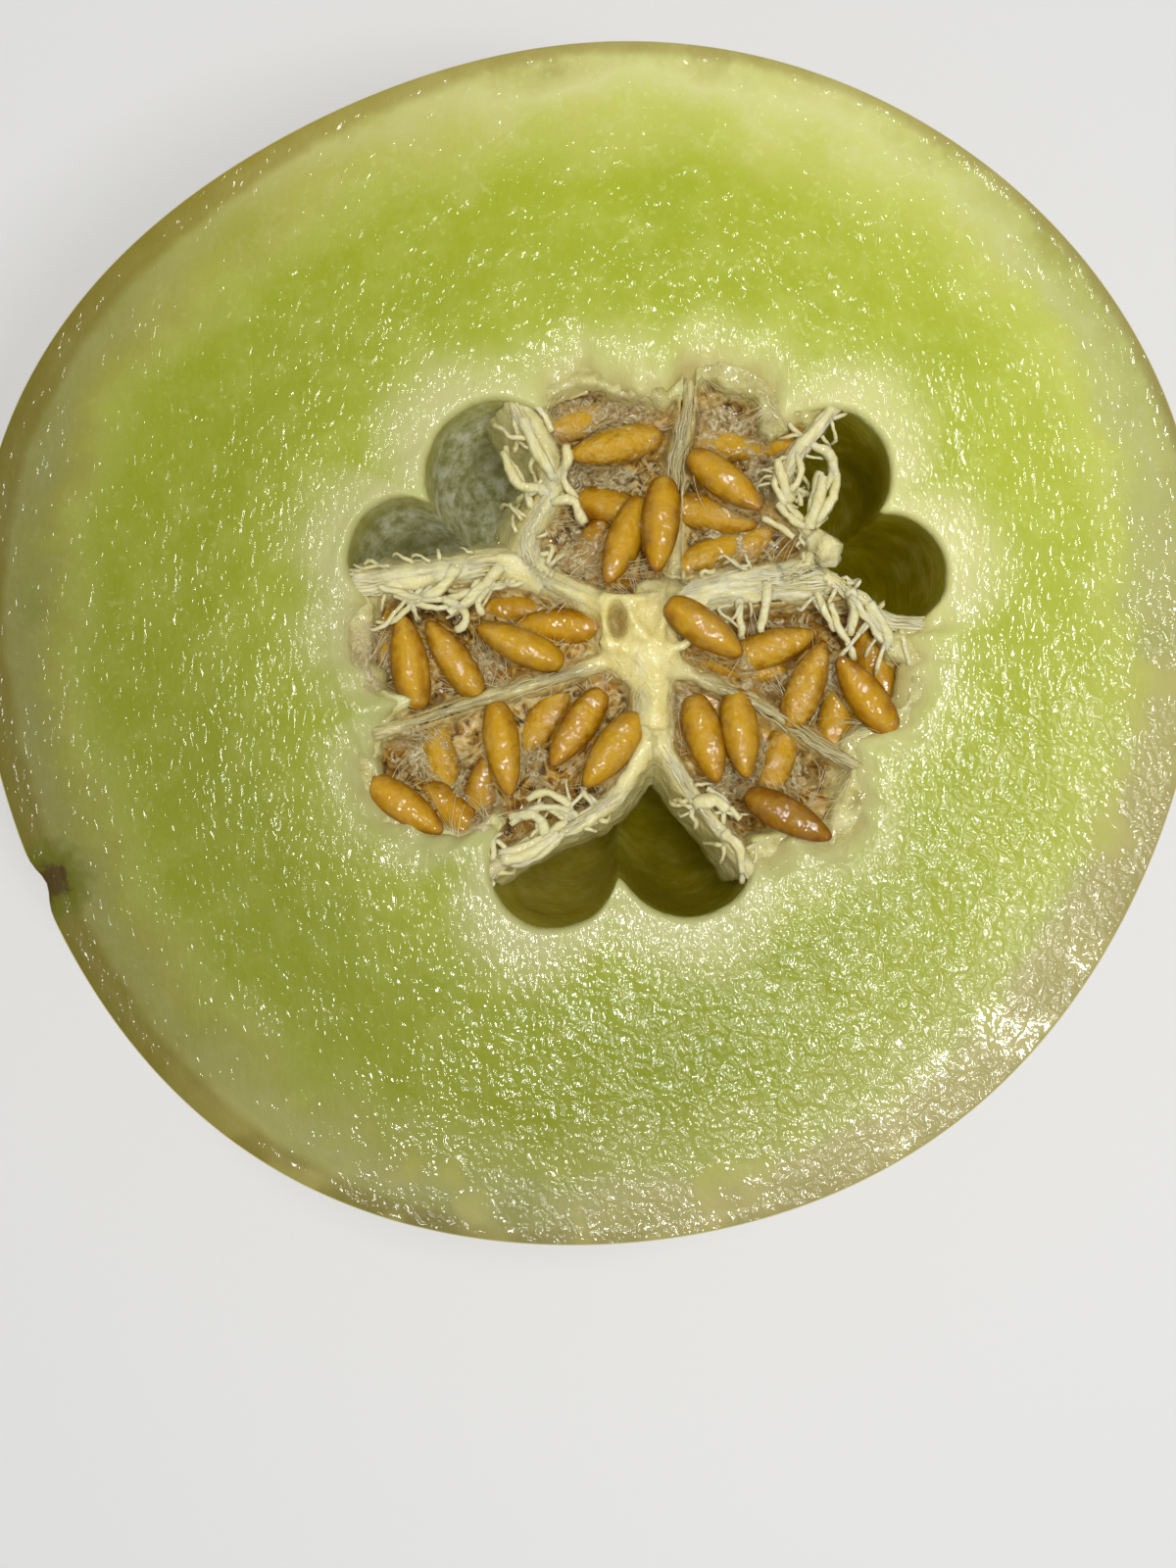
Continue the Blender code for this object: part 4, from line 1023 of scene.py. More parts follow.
def tissueFinish():
    material = newMaterial("creamTissue")
    grainPlace = addNode("ShaderNodeCombineXYZ", {"X": times(attribute("along"), 0.16),
            "Y": attribute("across"), "Z": times(attribute("drop"), 0.16)}).outputs[0]
    grain = addNode("ShaderNodeTexNoise", {"Vector": grainPlace, "Scale": 2.2, "Detail": 4.0,
            "Roughness": 0.65}).outputs["Fac"]
    cream = ramp(noiseValue(2.4 * mm, detail=4), [(0.3, (198, 184, 108)), (0.5, (216, 204, 134)),
            (0.72, (232, 224, 166))])
    white = ramp(grain, [(0.28, (214, 200, 128)), (0.48, (240, 229, 170)), (0.7, (252, 247, 212))])
    colour = blend(times(attribute("white"), 0.85), cream, white)
    jelly = ramp(noiseValue(3.4 * mm, detail=3, warp=0.5),
            [(0.3, (216, 198, 114)), (0.55, (234, 220, 148)), (0.75, (244, 238, 186))])
    colour = blend(attribute("jelly"), colour, jelly)
    tan = ramp(grain, [(0.25, (150, 130, 76)), (0.55, (194, 180, 122)), (0.8, (222, 212, 168))])
    colour = blend(attribute("tan"), colour, tan)
    # painted shade: the tissue is painted darker and more olive the further it goes down into the hollow
    low = rescale(attribute("drop"), 2.0, 9.0)
    colour = tint(colour, (150, 146, 82), low, 0.55)
    deep = rescale(attribute("drop"), 8.0, 20.0)
    colour = tint(colour, (96, 90, 26), deep, 0.6)
    colour = tint(colour, (150, 120, 50), attribute("pit"), 0.8)
    roughness = plus(0.26, times(attribute("white"), 0.26))
    normal = bump(noiseValue(1.6 * mm, detail=3, rough=0.6, warp=0.4),
            plus(0.28 * mm, times(attribute("jelly"), 0.3 * mm)))
    dry = calc("SUBTRACT", 1.0, attribute("jelly"), clamp=True)
    normal = bump(times(grain, dry), 0.22 * mm, under=normal)
    skin(colour, normal, roughness, IOR=1.4, Specular_IOR_Level=0.3, Subsurface_Weight=0.4,
         Subsurface_Scale=0.0022, Subsurface_Radius=(1.0, 0.9, 0.45), Coat_Weight=0.8, Coat_IOR=1.5,
         Coat_Roughness=0.05)
    return material


def tissueAttributes(mesh):
    # place along, across and below the nearest wall for each point, and that wall's tones
    stations = [(name, *wallStations(name)) for name in walls]
    total = sum(len(s[1]) for s in stations)
    tree = KDTree(total)
    ahead, tones, lengths, spots, index = [], [], [], [], 0
    for order, (name, path, side, along, width) in enumerate(stations):
        for k in range(len(path)):
            tree.insert((path[k, 0], path[k, 1], 0), index)
            ahead.append(side[k])
            tones.append(wallTone[name])
            lengths.append(along[k] + order * 0.05)
            spots.append(path[k, :2])
            index += 1
    tree.balance()
    points = meshVectors(mesh)
    nearest = np.array([tree.find((x, y, 0))[1] for x, y, _ in points])
    side, tones, lengths, spots = (np.array(a)[nearest] for a in (ahead, tones, lengths, spots))
    offset = points[:, :2] - spots
    forward = np.column_stack([side[:, 1], -side[:, 0]])
    along = lengths + (offset * forward).sum(1)
    across = (offset * side).sum(1)
    fromCore = np.hypot(points[:, 0] - melon["hollowCentre"][0], points[:, 1] - melon["hollowCentre"][1])
    core = 1 - smoothStep(4.5 * mm, 9 * mm, fromCore + 1.2 * mm * layeredNoise(points, 3 * mm, 4, 2))
    patch = softNoise(points, 4 * mm, 21)
    x, y, wide, tall, _ = tissue["pit"]
    fromPit = np.hypot((points[:, 0] / mm - x) / wide, (points[:, 1] / mm - y) / tall)
    white, jelly, tan = tones.T
    values = {
        "along": along / mm, "across": across / mm, "drop": (cutHeight - points[:, 2]) / mm,
        "white": np.clip(white * (1 - core) + 0.35 * patch, 0, 1),
        "jelly": np.clip(np.maximum(jelly, core) - 0.25 * patch * (1 - core), 0, 1),
        "tan": np.clip(tan * (1 - core) + 0.2 * patch * (tan > 0), 0, 1),
        "pit": 1 - smoothStep(0.5, 1.25, fromPit),
    }
    return points, values


def tissueRelief(mesh, points, values):
    normals = meshVectors(mesh, "normal")
    local = np.column_stack([values["along"], values["across"], values["drop"]])
    facing = 1 - np.abs(normals[:, 2])
    lengthwise = local * [1, 0, 1]
    fold = softNoise(lengthwise, (1.5, 1, 8), 31) + 0.5 * softNoise(lengthwise, (0.9, 1, 6), 32)
    groove = layeredNoise(local, (4.0, 0.9, 4.0), 33, 2)
    lump = layeredNoise(points, 1.8 * mm, 34, 2)
    push = tissue["fold"] * fold * facing + tissue["groove"] * groove + tissue["lump"] * lump
    push *= 1 - 0.6 * values["jelly"]
    moved = points + normals * push[:, None]
    dent = values["pit"] * (values["drop"] < 5) * np.clip(normals[:, 2], 0, 1) * tissue["pit"][4] * mm
    moved[:, 2] -= dent
    mesh.vertices.foreach_set("co", moved.ravel())


def relaxed(obj, steps, group=""):
    # the object's mesh with its points evened out; the object goes
    relax = obj.modifiers.new("relax", "SMOOTH")
    relax.factor = 0.5
    relax.iterations = steps
    relax.vertex_group = group
    mesh = evaluatedMesh(obj)
    bpy.data.objects.remove(obj)
    return mesh


def softened(mesh, weights, steps):
    # evens out only the points with weight
    obj = addObject("soft", mesh)
    group = obj.vertex_groups.new(name="soft")
    for level in range(1, 6):
        chosen = np.nonzero(np.rint(weights * 5) == level)[0]
        group.add(chosen.tolist(), level / 5, "REPLACE")
    return relaxed(obj, steps, "soft")


def remeshed(chunks, voxel, smoothing):
    obj = makeObject("rough", chunks, [])
    remesh = obj.modifiers.new("join", "REMESH")
    remesh.mode = "VOXEL"
    remesh.voxel_size = voxel
    remesh.use_smooth_shade = True
    return relaxed(obj, smoothing)


print("seed-bearing tissue")
tissueMaterial = tissueFinish()
rng = np.random.default_rng(tissue["seed"])
coreCentre = np.array(melon["hollowCentre"])
coreTop = cutHeight - tissue["coreDrop"]
strandPaths = handPaths(fingers + loose) + frillPaths(rng) + laidPaths(threads, rng)
thickStrands = grow(pathObject("strandPaths", strandPaths), strands,
        {"Spacing": 0.5 * mm, "Wander": 0.26 * mm, "Wander Size": 1.8 * mm, "Sides": 6, "Seed": 1.0,
         "Finish": tissueMaterial})
foldStrands = grow(pathObject("foldPaths", laidPaths(folds, rng) + handPaths(ridges)), strands,
        {"Spacing": 0.5 * mm, "Wander": 0.3 * mm, "Wander Size": 3 * mm, "Sides": 8, "Seed": 3.0,
         "Finish": tissueMaterial})
roughParts = [wallChunk(name) for name in walls] + [meshChunk(foldStrands)]
roughParts.append(columnChunk(coreCentre, tissue["coreRadius"], coreTop,
        cutHeight - tissue["fineDepth"], 3))
x, y, radius, drop = tissue["joint"]
roughParts.append(columnChunk(np.array([x, y]) * mm, radius * mm, cutHeight - drop * mm,
        cutHeight - tissue["fineDepth"], 4))
upperMesh = remeshed(roughParts, tissue["voxel"], 2)
points, values = tissueAttributes(upperMesh)
upperMesh = softened(upperMesh, values["jelly"], tissue["jellySmoothing"])
tissueRelief(upperMesh, meshVectors(upperMesh), values)
lowerParts = [wallChunk(name, deep=True) for name in walls]
lowerParts.append(columnChunk(coreCentre, tissue["coreRadius"] - 0.4 * mm,
        cutHeight - tissue["fineDepth"] + tissue["overlap"], tissue["deepest"], 3))
for part in lowerParts:
    part["values"] = {"drop": (cutHeight - part["verts"][:, 2]) / mm}
strandPoints, strandValues = tissueAttributes(thickStrands)
strandValues["white"] = np.maximum(strandValues["white"], 0.75)
strandValues["jelly"] *= 0.3
strandValues["pit"] *= 0
upperPart = meshChunk(upperMesh, 0, **values)
strandPart = meshChunk(thickStrands, 0, **strandValues)
seedTissue = makeObject("seedTissue", [upperPart, strandPart, *lowerParts], [tissueMaterial])
faceOutward(seedTissue)
print("tissue faces", len(seedTissue.data.polygons))


# Seeds in their wet pulp, one piece for each pocket.
# Each seed: x, y and drop of its middle in mm, facing and tilt in degrees, then tone and coat.
# Each veil: x, y, half width and half height in mm, turn in degrees, and lift in mm.
pockets = {
    "seedsTopLeft": {
        "node": "seeds_top_left", "middle": (2, 22), "base": 5.2, "web": 23,
        "veils": [
            (1.5, 28.5, 7.0, 3.6, 10, 0.9), (-3.6, 22.4, 2.6, 4.0, 20, 0.6),
            (1.5, 20.6, 5.0, 2.4, 5, 0.7), (-1.0, 12.0, 3.4, 4.2, 0, 1.0),
        ],
        "seeds": [
            (3.4, 24.9, 2.4, 194, 4, 0.3, 1.0), (3.2, 17.6, 4.6, 348, 6, -0.1, 0.2),
            (4.6, 13.0, 2.4, 248, 8, 0.1, 0.0), (9.0, 14.6, 0.3, 265, 4, 0.0, 0.0),
            (-0.4, 11.8, 5.6, 60, 10, -0.4, 0.6), (-1.6, 28.4, 5.4, 200, 12, 0.2, 0.8),
        ],
    },
    "seedsTopRight": {
        "node": "seeds_top_right", "middle": (19, 20), "base": 5.6, "web": 23,
        "veils": [
            (17.5, 27.0, 5.0, 3.6, 0, 0.9), (18.4, 13.6, 5.6, 4.0, 10, 0.8),
            (22.4, 22.0, 2.6, 5.0, 0, 0.6),
        ],
        "seeds": [
            (17.2, 20.2, 1.2, 322, 6, 0.1, 0.1), (15.8, 16.6, 4.6, 346, 4, 0.1, 0.6),
            (15.2, 11.4, 5.2, 205, 6, 0.3, 0.3), (19.4, 12.0, 5.8, 40, 8, 0.2, 0.7),
            (17.0, 25.8, 5.4, 350, 4, 0.2, 0.8), (24.2, 25.6, 4.6, 10, 16, 0.0, 0.3),
        ],
    },
    "seedsLeftUpper": {
        "node": "seeds_left_upper", "middle": (-17, 0.5), "base": 5.4, "web": 19,
        "veils": [
            (-27.6, -1.2, 2.6, 6.5, 0, 0.8), (-13.2, -2.2, 3.0, 3.0, 20, 0.6),
            (-7.0, 3.6, 3.5, 1.6, 0, 0.4),
        ],
        "seeds": [
            (-22.4, -2.3, 2.2, 99, 4, 0.1, 0.2), (-16.9, -2.0, 3.0, 124, 6, 0.1, 0.3),
            (-8.5, -0.3, 1.8, 157, 6, 0.2, 0.0), (-3.8, 2.4, 4.4, 178, -4, 0.0, 0.0),
            (-10.6, 5.0, 5.8, 175, 0, -0.2, 0.0), (-26.6, 2.2, 5.2, 100, 0, 0.0, 0.8),
        ],
    },
    "seedsLeftLower": {
        "node": "seeds_left_lower", "middle": (-12, -16), "base": 5.2, "web": 27,
        "veils": [
            (-20.6, -13.6, 4.6, 3.6, -20, 1.0), (-14.2, -20.2, 3.6, 4.6, 20, 0.9),
            (-7.2, -14.6, 2.4, 4.0, 30, 0.7),
        ],
        "seeds": [
            (-10.7, -13.1, 2.0, 279, 6, 0.15, 0.1), (-5.7, -9.4, 4.8, 238, 4, 0.2, 0.7),
            (-1.4, -10.6, 2.6, 236, 4, 0.0, 0.2), (3.0, -13.4, 1.6, 233, 8, 0.3, 0.0),
            (-19.0, -13.6, 5.4, 100, 6, 0.2, 1.0), (-13.8, -19.4, 5.2, 80, 10, -0.1, 0.1),
            (-22.8, -20.4, 2.0, 325, 4, 0.05, 0.1), (-16.6, -21.8, 4.2, 315, 4, -0.1, 0.3),
        ],
    },
    "seedsRightUpper": {
        "node": "seeds_right_upper", "middle": (27, -1.5), "base": 5.6, "web": 21,
        "veils": [
            (21.6, -3.6, 4.0, 2.4, -10, 0.8), (31.0, -4.0, 2.4, 4.2, 0, 0.7),
            (25.8, 1.6, 3.0, 1.6, 0, 0.5),
        ],
        "seeds": [
            (14.4, 1.6, -0.6, 325, 0, 0.1, 0.0), (23.0, -0.4, 4.2, 18, 4, 0.2, 0.4),
            (27.4, -5.2, 2.2, 68, 4, 0.15, 0.8), (34.6, -6.6, 1.2, 127, 8, 0.0, 0.0),
            (31.4, -9.4, 4.6, 85, 0, 0.2, 0.2), (36.4, -2.0, 5.2, 110, 0, -0.1, 0.1),
            (19.8, -2.6, 5.4, 350, 0, 0.1, 0.6),
        ],
    },
    "seedsRightLower": {
        "node": "seeds_right_lower", "middle": (18, -15), "base": 5.8, "web": 23,
        "veils": [
            (23.6, -15.6, 4.6, 4.0, -30, 0.8), (17.2, -17.6, 3.2, 2.6, 0, 0.7),
            (12.2, -7.0, 2.2, 2.2, 0, 0.5),
        ],
        "seeds": [
            (14.7, -11.9, 2.2, 286, 6, 0.1, 0.1), (19.1, -11.3, 1.8, 277, 8, 0.15, 0.1),
            (12.4, -9.0, 5.6, 275, 0, -0.3, 0.0), (16.6, -8.4, 5.6, 300, 0, 0.0, 0.3),
            (23.8, -15.4, 4.6, 252, 4, 0.1, 0.8), (25.0, -21.6, 0.9, 332, 6, -0.55, 0.1),
            (22.4, -12.4, 6.0, 270, 0, -0.1, 0.3),
        ],
    },
}
seedForm = {
    "length": 11.8 * mm,
    "width": 4.6 * mm,
    "thickness": 2.7 * mm,
    "taper": 0.16,
    "waist": 0.14,
    "fullness": 0.6,
    "rings": 20,
    "around": 16,
    "roll": 8,  # degrees either way
    "sizes": ((0.96, 1.03), (0.95, 1.06), (0.95, 1.1)),  # ranges of length, width and thickness
}
pulpForm = {
    "cell": 0.26 * mm,
    "intoWall": 0.5 * mm,
    "intoFlesh": 1.8 * mm,
    "wallClimb": 1.3,
    "seedGrip": 0.35,
    "shelfWidth": 1.5 * mm,
    "shelfDrop": 1.5 * mm,
    "lumps": 0.36 * mm,
    "reach": 24 * mm,  # from a pocket's middle
    "baseLumps": 0.9 * mm,
    "climbReach": 0.9 * mm,
    "shelfReach": 1.1 * mm,
    "gripReach": 0.55 * mm,
    "dropRange": (0.9 * mm, 9 * mm),
    "lowest": 31.5 * mm,
    "aboveFloor": 0.5 * mm,
    "leastDepth": 4 * mm,
    "seed": 5,
}


webForm = {
    "rootBand": 1.4 * mm,
    "swerve": 0.7,
    "length": (4 * mm, 11 * mm),
    "bundle": (2, 6),
    "spread": 0.3 * mm,
    "splay": 0.2,
    "lift": (0.1 * mm, 0.6 * mm),
    "radius": (0.02 * mm, 0.055 * mm),
    "bow": 0.12,
    "reach": (0.6, 1.1),
    "points": 10,
    "steepest": 0.35 * mm,  # fall from one point to the next
    "aboveCut": 0.4 * mm,
    "veilSteps": 26,
    "veilThick": 0.04 * mm,
    "veilRag": (0.22, 0.5),  # share of the size, and the size of its lumps
    "veilCrinkle": (0.3 * mm, (1.6 * mm, 1.6 * mm, 1)),
    "veilFloor": 2.5 * mm,  # drop where there is no pulp below
    "veilDrape": 6,
}


def seedPrototype():
    s = seedForm
    rings, alongs, edges = [], [], []
    for turn in np.linspace(0.0, math.pi, s["rings"] + 2)[1:-1]:
        along = math.cos(turn)
        blunt = s["fullness"] + (1.0 - s["fullness"]) * (along + 1) / 2
        girth = math.sin(turn) ** blunt * (1 - s["taper"] * along - s["waist"] * along**2)
        around = np.arange(s["around"]) * 2 * math.pi / s["around"]
        rings.append(np.column_stack([np.full(s["around"], along * s["length"] / 2), np.cos(around)
                * girth * s["width"] / 2, np.sin(around) * girth * s["thickness"] / 2]))
        alongs.append(np.full(s["around"], along))
        edges.append(np.abs(np.cos(around)) * math.sin(turn) + 1 - math.sin(turn))
    return makeObject("seedShape", [ringChunk(np.array(rings), seedAlong=alongs, seedEdge=edges)], [])


def seedTree():
    tree, given, result = newTree("seedsOnPoints", [("Places", "Geometry", None),
            ("Seed Shape", "Object", None), ("Dimple", "Float", 0.0001),
            ("Dimple Size", "Float", 0.002), ("Finish", "Material", None)], "Seeds")
    shape = addNode("GeometryNodeObjectInfo", {"Object": given["Seed Shape"]}).outputs["Geometry"]
    turn = addNode("FunctionNodeEulerToRotation", {"Euler": namedVector("turn")}).outputs[0]
    seeds = addNode("GeometryNodeInstanceOnPoints", {"Points": given["Places"], "Instance": shape,
            "Rotation": turn, "Scale": namedVector("size")}).outputs[0]
    seeds = shaped("RealizeInstances", seeds)
    spot = addNode("GeometryNodeInputPosition").outputs[0]
    noise = addNode("ShaderNodeTexNoise",
            {"Vector": spot, "Scale": calc("DIVIDE", 1.0, given["Dimple Size"]),
             "Detail": 2.0}).outputs["Fac"]
    height = times(minus(noise, 0.5), times(given["Dimple"], 2.0))
    outward = addNode("GeometryNodeInputNormal").outputs[0]
    push = addNode("ShaderNodeVectorMath", {"Scale": height}, operation="SCALE")
    feed(push.inputs[0], outward)
    seeds = shaped("SetShadeSmooth", shaped("SetPosition", seeds, Offset=push.outputs[0]))
    feed(result[0], shaped("SetMaterial", seeds, Material=given["Finish"]))
    return tree


def seedPoints(name, seeds, rng):
    mesh = bpy.data.meshes.new(name)
    mesh.from_pydata([(x * mm, y * mm, cutHeight - drop * mm) for x, y, drop, *_ in seeds], [], [])
    turns, sizes = [], []
    for _, _, _, facing, tilt, _, _ in seeds:
        roll = rng.uniform(-seedForm["roll"], seedForm["roll"])
        turns.append((math.radians(roll), -math.radians(tilt), math.radians(facing)))
        sizes.append([rng.uniform(*between) for between in seedForm["sizes"]])
    for key, rows in (("turn", turns), ("size", sizes)):
        layer = mesh.attributes.new(key, "FLOAT_VECTOR", "POINT")
        layer.data.foreach_set("vector", np.array(rows, np.float32).ravel())
    setAttribute(mesh, "tone", [seed[5] for seed in seeds])
    setAttribute(mesh, "coat", [seed[6] for seed in seeds])
    return addObject(name, mesh)


def readAttribute(mesh, name):
    values = np.zeros(len(mesh.vertices), np.float32)
    layer = mesh.attributes.get(name)
    if layer:
        layer.data.foreach_get("value", values)
    return values


def wallDistances(x, y):
    # distance to the nearest wall's side and that wall's drop, for a grid of places
    best = np.full(x.shape, 1.0)
    dropThere = np.zeros(x.shape)
    for name in walls:
        path, _, _, width = wallStations(name, 8)
        beyond = path[-1] + (path[-1] - path[-2]) / np.linalg.norm(path[-1] - path[-2]) * 5 * mm
        for a, b in zip(path, [*path[1:], beyond]):
            step = b[:2] - a[:2]
            t = np.clip(((x - a[0]) * step[0] + (y - a[1]) * step[1]) / (step @ step), 0, 1)
            gap = np.hypot(x - a[0] - t * step[0], y - a[1] - t * step[1]) - width / 2
            dropThere = np.where(gap < best, a[2], dropThere)
            best = np.minimum(best, gap)
    gap = np.hypot(x - coreCentre[0], y - coreCentre[1]) - tissue["coreRadius"]
    dropThere = np.where(gap < best, 0.8 * mm, dropThere)
    return np.minimum(best, gap), dropThere


def pocketPulp(pocket):
    # wet pulp as a closed block: lumpy on top, down to the hollow's floor
    p = pulpForm
    middle = np.array(pocket["middle"]) * mm
    steps = int(2 * p["reach"] / p["cell"])
    lines = (np.arange(steps) - steps / 2) * p["cell"]
    x, y = np.meshgrid(middle[0] + lines, middle[1] + lines, indexing="ij")
    toWall, wallDrop = wallDistances(x, y)
    dx, dy = x - coreCentre[0], y - coreCentre[1]
    shore = hollowRadius(np.arctan2(dy, dx).ravel()).reshape(x.shape) - np.hypot(dx, dy)
    allowed = (toWall > -p["intoWall"]) & (shore > -p["intoFlesh"])
    inside = np.zeros_like(allowed)
    inside[steps // 2, steps // 2] = True
    while True:
        spread = inside.copy()
        spread[1:] |= inside[:-1]
        spread[:-1] |= inside[1:]
        spread[:, 1:] |= inside[:, :-1]
        spread[:, :-1] |= inside[:, 1:]
        spread &= allowed
        if (spread == inside).all():
            break
        inside = spread
    base = pocket["base"] * mm + p["baseLumps"] * gridNoise(x, y, 4 * mm, p["seed"], 2)
    climb = np.exp(-np.maximum(toWall, 0) / p["climbReach"])
    drop = base - (base - wallDrop - p["wallClimb"] * mm) * climb
    ragged = p["shelfWidth"] * (0.9 + gridNoise(x, y, 5 * mm, p["seed"] + 9, 3))
    fromShelf = np.maximum(shore - np.maximum(ragged, 0), 0)
    shelf = np.exp(-fromShelf / p["shelfReach"])
    drop = np.minimum(drop, base - (base - p["shelfDrop"] - 0.25 * np.maximum(shore, 0)) * shelf)
    nearSeed = np.full(x.shape, 9.0)
    for sx, sy, sd, facing, *_ in pocket["seeds"]:
        a = math.radians(facing)
        aside, ahead = x / mm - sx, y / mm - sy
        u = (aside * math.cos(a) + ahead * math.sin(a)) / (seedForm["length"] / mm / 2)
        v = (-aside * math.sin(a) + ahead * math.cos(a)) / (seedForm["width"] / mm / 2)
        away = np.maximum(np.hypot(u, v) - 0.9, 0) * seedForm["width"] / 2
        grip = (max(sd, 0.8) + p["seedGrip"]) * mm
        drop = np.minimum(drop, base - (base - grip) * np.exp(-away / p["gripReach"]))
        nearSeed = np.minimum(nearSeed, away / mm)
    lumps = gridNoise(x, y, 1.5 * mm, p["seed"] + 3, 3)
    drop += p["lumps"] * lumps * np.clip(nearSeed + 0.15, 0.15, 1)
    drop = np.clip(drop, *p["dropRange"])
    top = cutHeight - drop
    floor = hollowFloor(x.ravel(), y.ravel()).reshape(x.shape) + p["aboveFloor"]
    floor = np.minimum(np.maximum(floor, p["lowest"]), top - p["leastDepth"])

    cells = inside[:-1, :-1] & inside[1:, :-1] & inside[1:, 1:] & inside[:-1, 1:]
    used = np.zeros_like(inside)
    for di in (0, 1):
        for dj in (0, 1):
            used[di : steps - 1 + di, dj : steps - 1 + dj] |= cells
    number = np.full(used.shape, -1)
    number[used] = np.arange(used.sum())
    total = int(used.sum())
    verts = np.concatenate([np.column_stack([x[used], y[used], level[used]]) for level in (top, floor)])
    i, j = np.nonzero(cells)
    corners = np.stack([number[i, j], number[i + 1, j], number[i + 1, j + 1], number[i, j + 1]], -1)
    faces = corners.tolist() + (corners[:, ::-1] + total).tolist()
    padded = np.pad(cells, 1)
    offsets = [(0, 0), (1, 0), (1, 1), (0, 1)]
    outerSides = {(-1, 0): (0, 3), (1, 0): (1, 2), (0, -1): (0, 1), (0, 1): (3, 2)}
    for (di, dj), (first, second) in outerSides.items():
        rim = cells & ~padded[1 + di : steps + di, 1 + dj : steps + dj]
        ri, rj = np.nonzero(rim)
        a = number[ri + offsets[first][0], rj + offsets[first][1]]
        b = number[ri + offsets[second][0], rj + offsets[second][1]]
        faces += np.stack([a, b, b + total, a + total], -1).tolist()
    values = {
        "drop": np.concatenate([drop[used], np.full(total, 20 * mm)]) / mm,
        "toWall": np.tile(toWall[used], 2) / mm, "shelf": np.tile(shelf[used], 2),
    }
    chunk = {"verts": verts, "faces": faces, "slot": 1, "values": values}
    return chunk, (x, y, top, used, toWall, shore)


def surfaceHeight(surface, px, py):
    # the pulp's top at these places, and nan beyond it
    x, y, top, used = surface[:4]
    i = np.clip(np.rint((px - x[0, 0]) / pulpForm["cell"]).astype(int), 0, x.shape[0] - 1)
    j = np.clip(np.rint((py - y[0, 0]) / pulpForm["cell"]).astype(int), 0, x.shape[1] - 1)
    return np.where(used[i, j], top[i, j], np.nan)


def webPaths(pocket, surface, rng):
    # fine fibres in bundles, from the walls and the flesh out over the pulp and the seeds
    w = webForm
    x, y, top, used, toWall, shore = surface
    edgeward = np.minimum(toWall, shore)
    gradient = np.gradient(edgeward, pulpForm["cell"])
    i, j = np.nonzero(used & (edgeward > 0) & (edgeward < w["rootBand"]))
    paths = []
    for _ in range(pocket["web"]):
        k = rng.integers(len(i))
        root = np.array([x[i[k], j[k]], y[i[k], j[k]]])
        slopeX, slopeY = (part[i[k], j[k]] for part in gradient)
        heading = math.atan2(slopeY, slopeX) + rng.normal(0, w["swerve"])
        length = rng.uniform(*w["length"])
        bow = rng.normal(0, w["bow"])
        for _ in range(rng.integers(*w["bundle"])):
            start = root + rng.normal(0, w["spread"], 2)
            turn = heading + rng.normal(0, w["splay"])
            reach = length * rng.uniform(*w["reach"])
            lift = rng.uniform(*w["lift"])
            thick = rng.uniform(*w["radius"])
            points, radii, last = [], [], 0.0
            for t in np.linspace(0, 1, w["points"]):
                facing = turn + bow * t * 3
                spot = start + reach * t * np.array([math.cos(facing), math.sin(facing)])
                height = float(surfaceHeight(surface, *spot))
                if math.isnan(height):
                    break
                last = max(height, last - w["steepest"])
                height = last + lift * math.sin(math.pi * min(t + 0.1, 1))
                points.append([*spot, min(height, cutHeight + w["aboveCut"])])
                radii.append(thick * (1 - 0.5 * t))
            if len(points) > 3:
                paths.append((points, radii))
    return paths


def veilChunks(pocket, surface):
    # thin crinkled skins over the pulp: closed sheets, two faces deep
    w = webForm
    ragShare, ragSize = w["veilRag"]
    crinkleHeight, crinkleSize = w["veilCrinkle"]
    chunks = []
    for order, (vx, vy, wide, tall, turn, lift) in enumerate(pocket["veils"]):
        steps = w["veilSteps"]
        u, v = np.meshgrid(np.linspace(-1, 1, steps), np.linspace(-1, 1, steps), indexing="ij")
        a = math.radians(turn)
        rag = layeredNoise(gridPoints(u, v, order * 3.0), ragSize, 40, 2).reshape(u.shape)
        rag = 1 + ragShare * rag
        px = vx * mm + (u * wide * math.cos(a) - v * tall * math.sin(a)) * mm * rag
        py = vy * mm + (u * wide * math.sin(a) + v * tall * math.cos(a)) * mm * rag
        under = np.nan_to_num(surfaceHeight(surface, px, py), nan=cutHeight - w["veilFloor"])
        for _ in range(w["veilDrape"]):
            padded = np.pad(under, 1, mode="edge")
            near = padded[:-2, 1:-1] + padded[2:, 1:-1] + padded[1:-1, :-2] + padded[1:-1, 2:]
            under = np.maximum(under, near / 4)
        crinkle = crinkleHeight * gridNoise(px, py, crinkleSize, 44 + order, 3)
        rim = 1 - np.maximum(np.abs(u), np.abs(v)) ** 4
        height = np.minimum(under + lift * mm * rim + crinkle * rim, cutHeight)
        upper = gridPoints(px, py, height)
        lower = upper - [0, 0, w["veilThick"]]
        grid = np.arange(steps * steps).reshape(steps, steps)
        quads = np.stack([grid[:-1, :-1], grid[1:, :-1], grid[1:, 1:], grid[:-1, 1:]], -1).reshape(-1, 4)
        total = steps * steps
        loop = np.concatenate([grid[:-1, 0], grid[-1, :-1], grid[:0:-1, -1], grid[0, :0:-1]])
        after = np.roll(loop, -1)
        sides = np.stack([after, loop, loop + total, after + total], -1)
        faces = quads.tolist() + (quads[:, ::-1] + total).tolist() + sides.tolist()
        fade = np.tile(np.clip(np.hypot(u, v), 0, 1.2).ravel(), 2)
        chunks.append({"verts": np.concatenate([upper, lower]), "faces": faces, "slot": 3,
                "values": {"veilEdge": fade}})
    return chunks


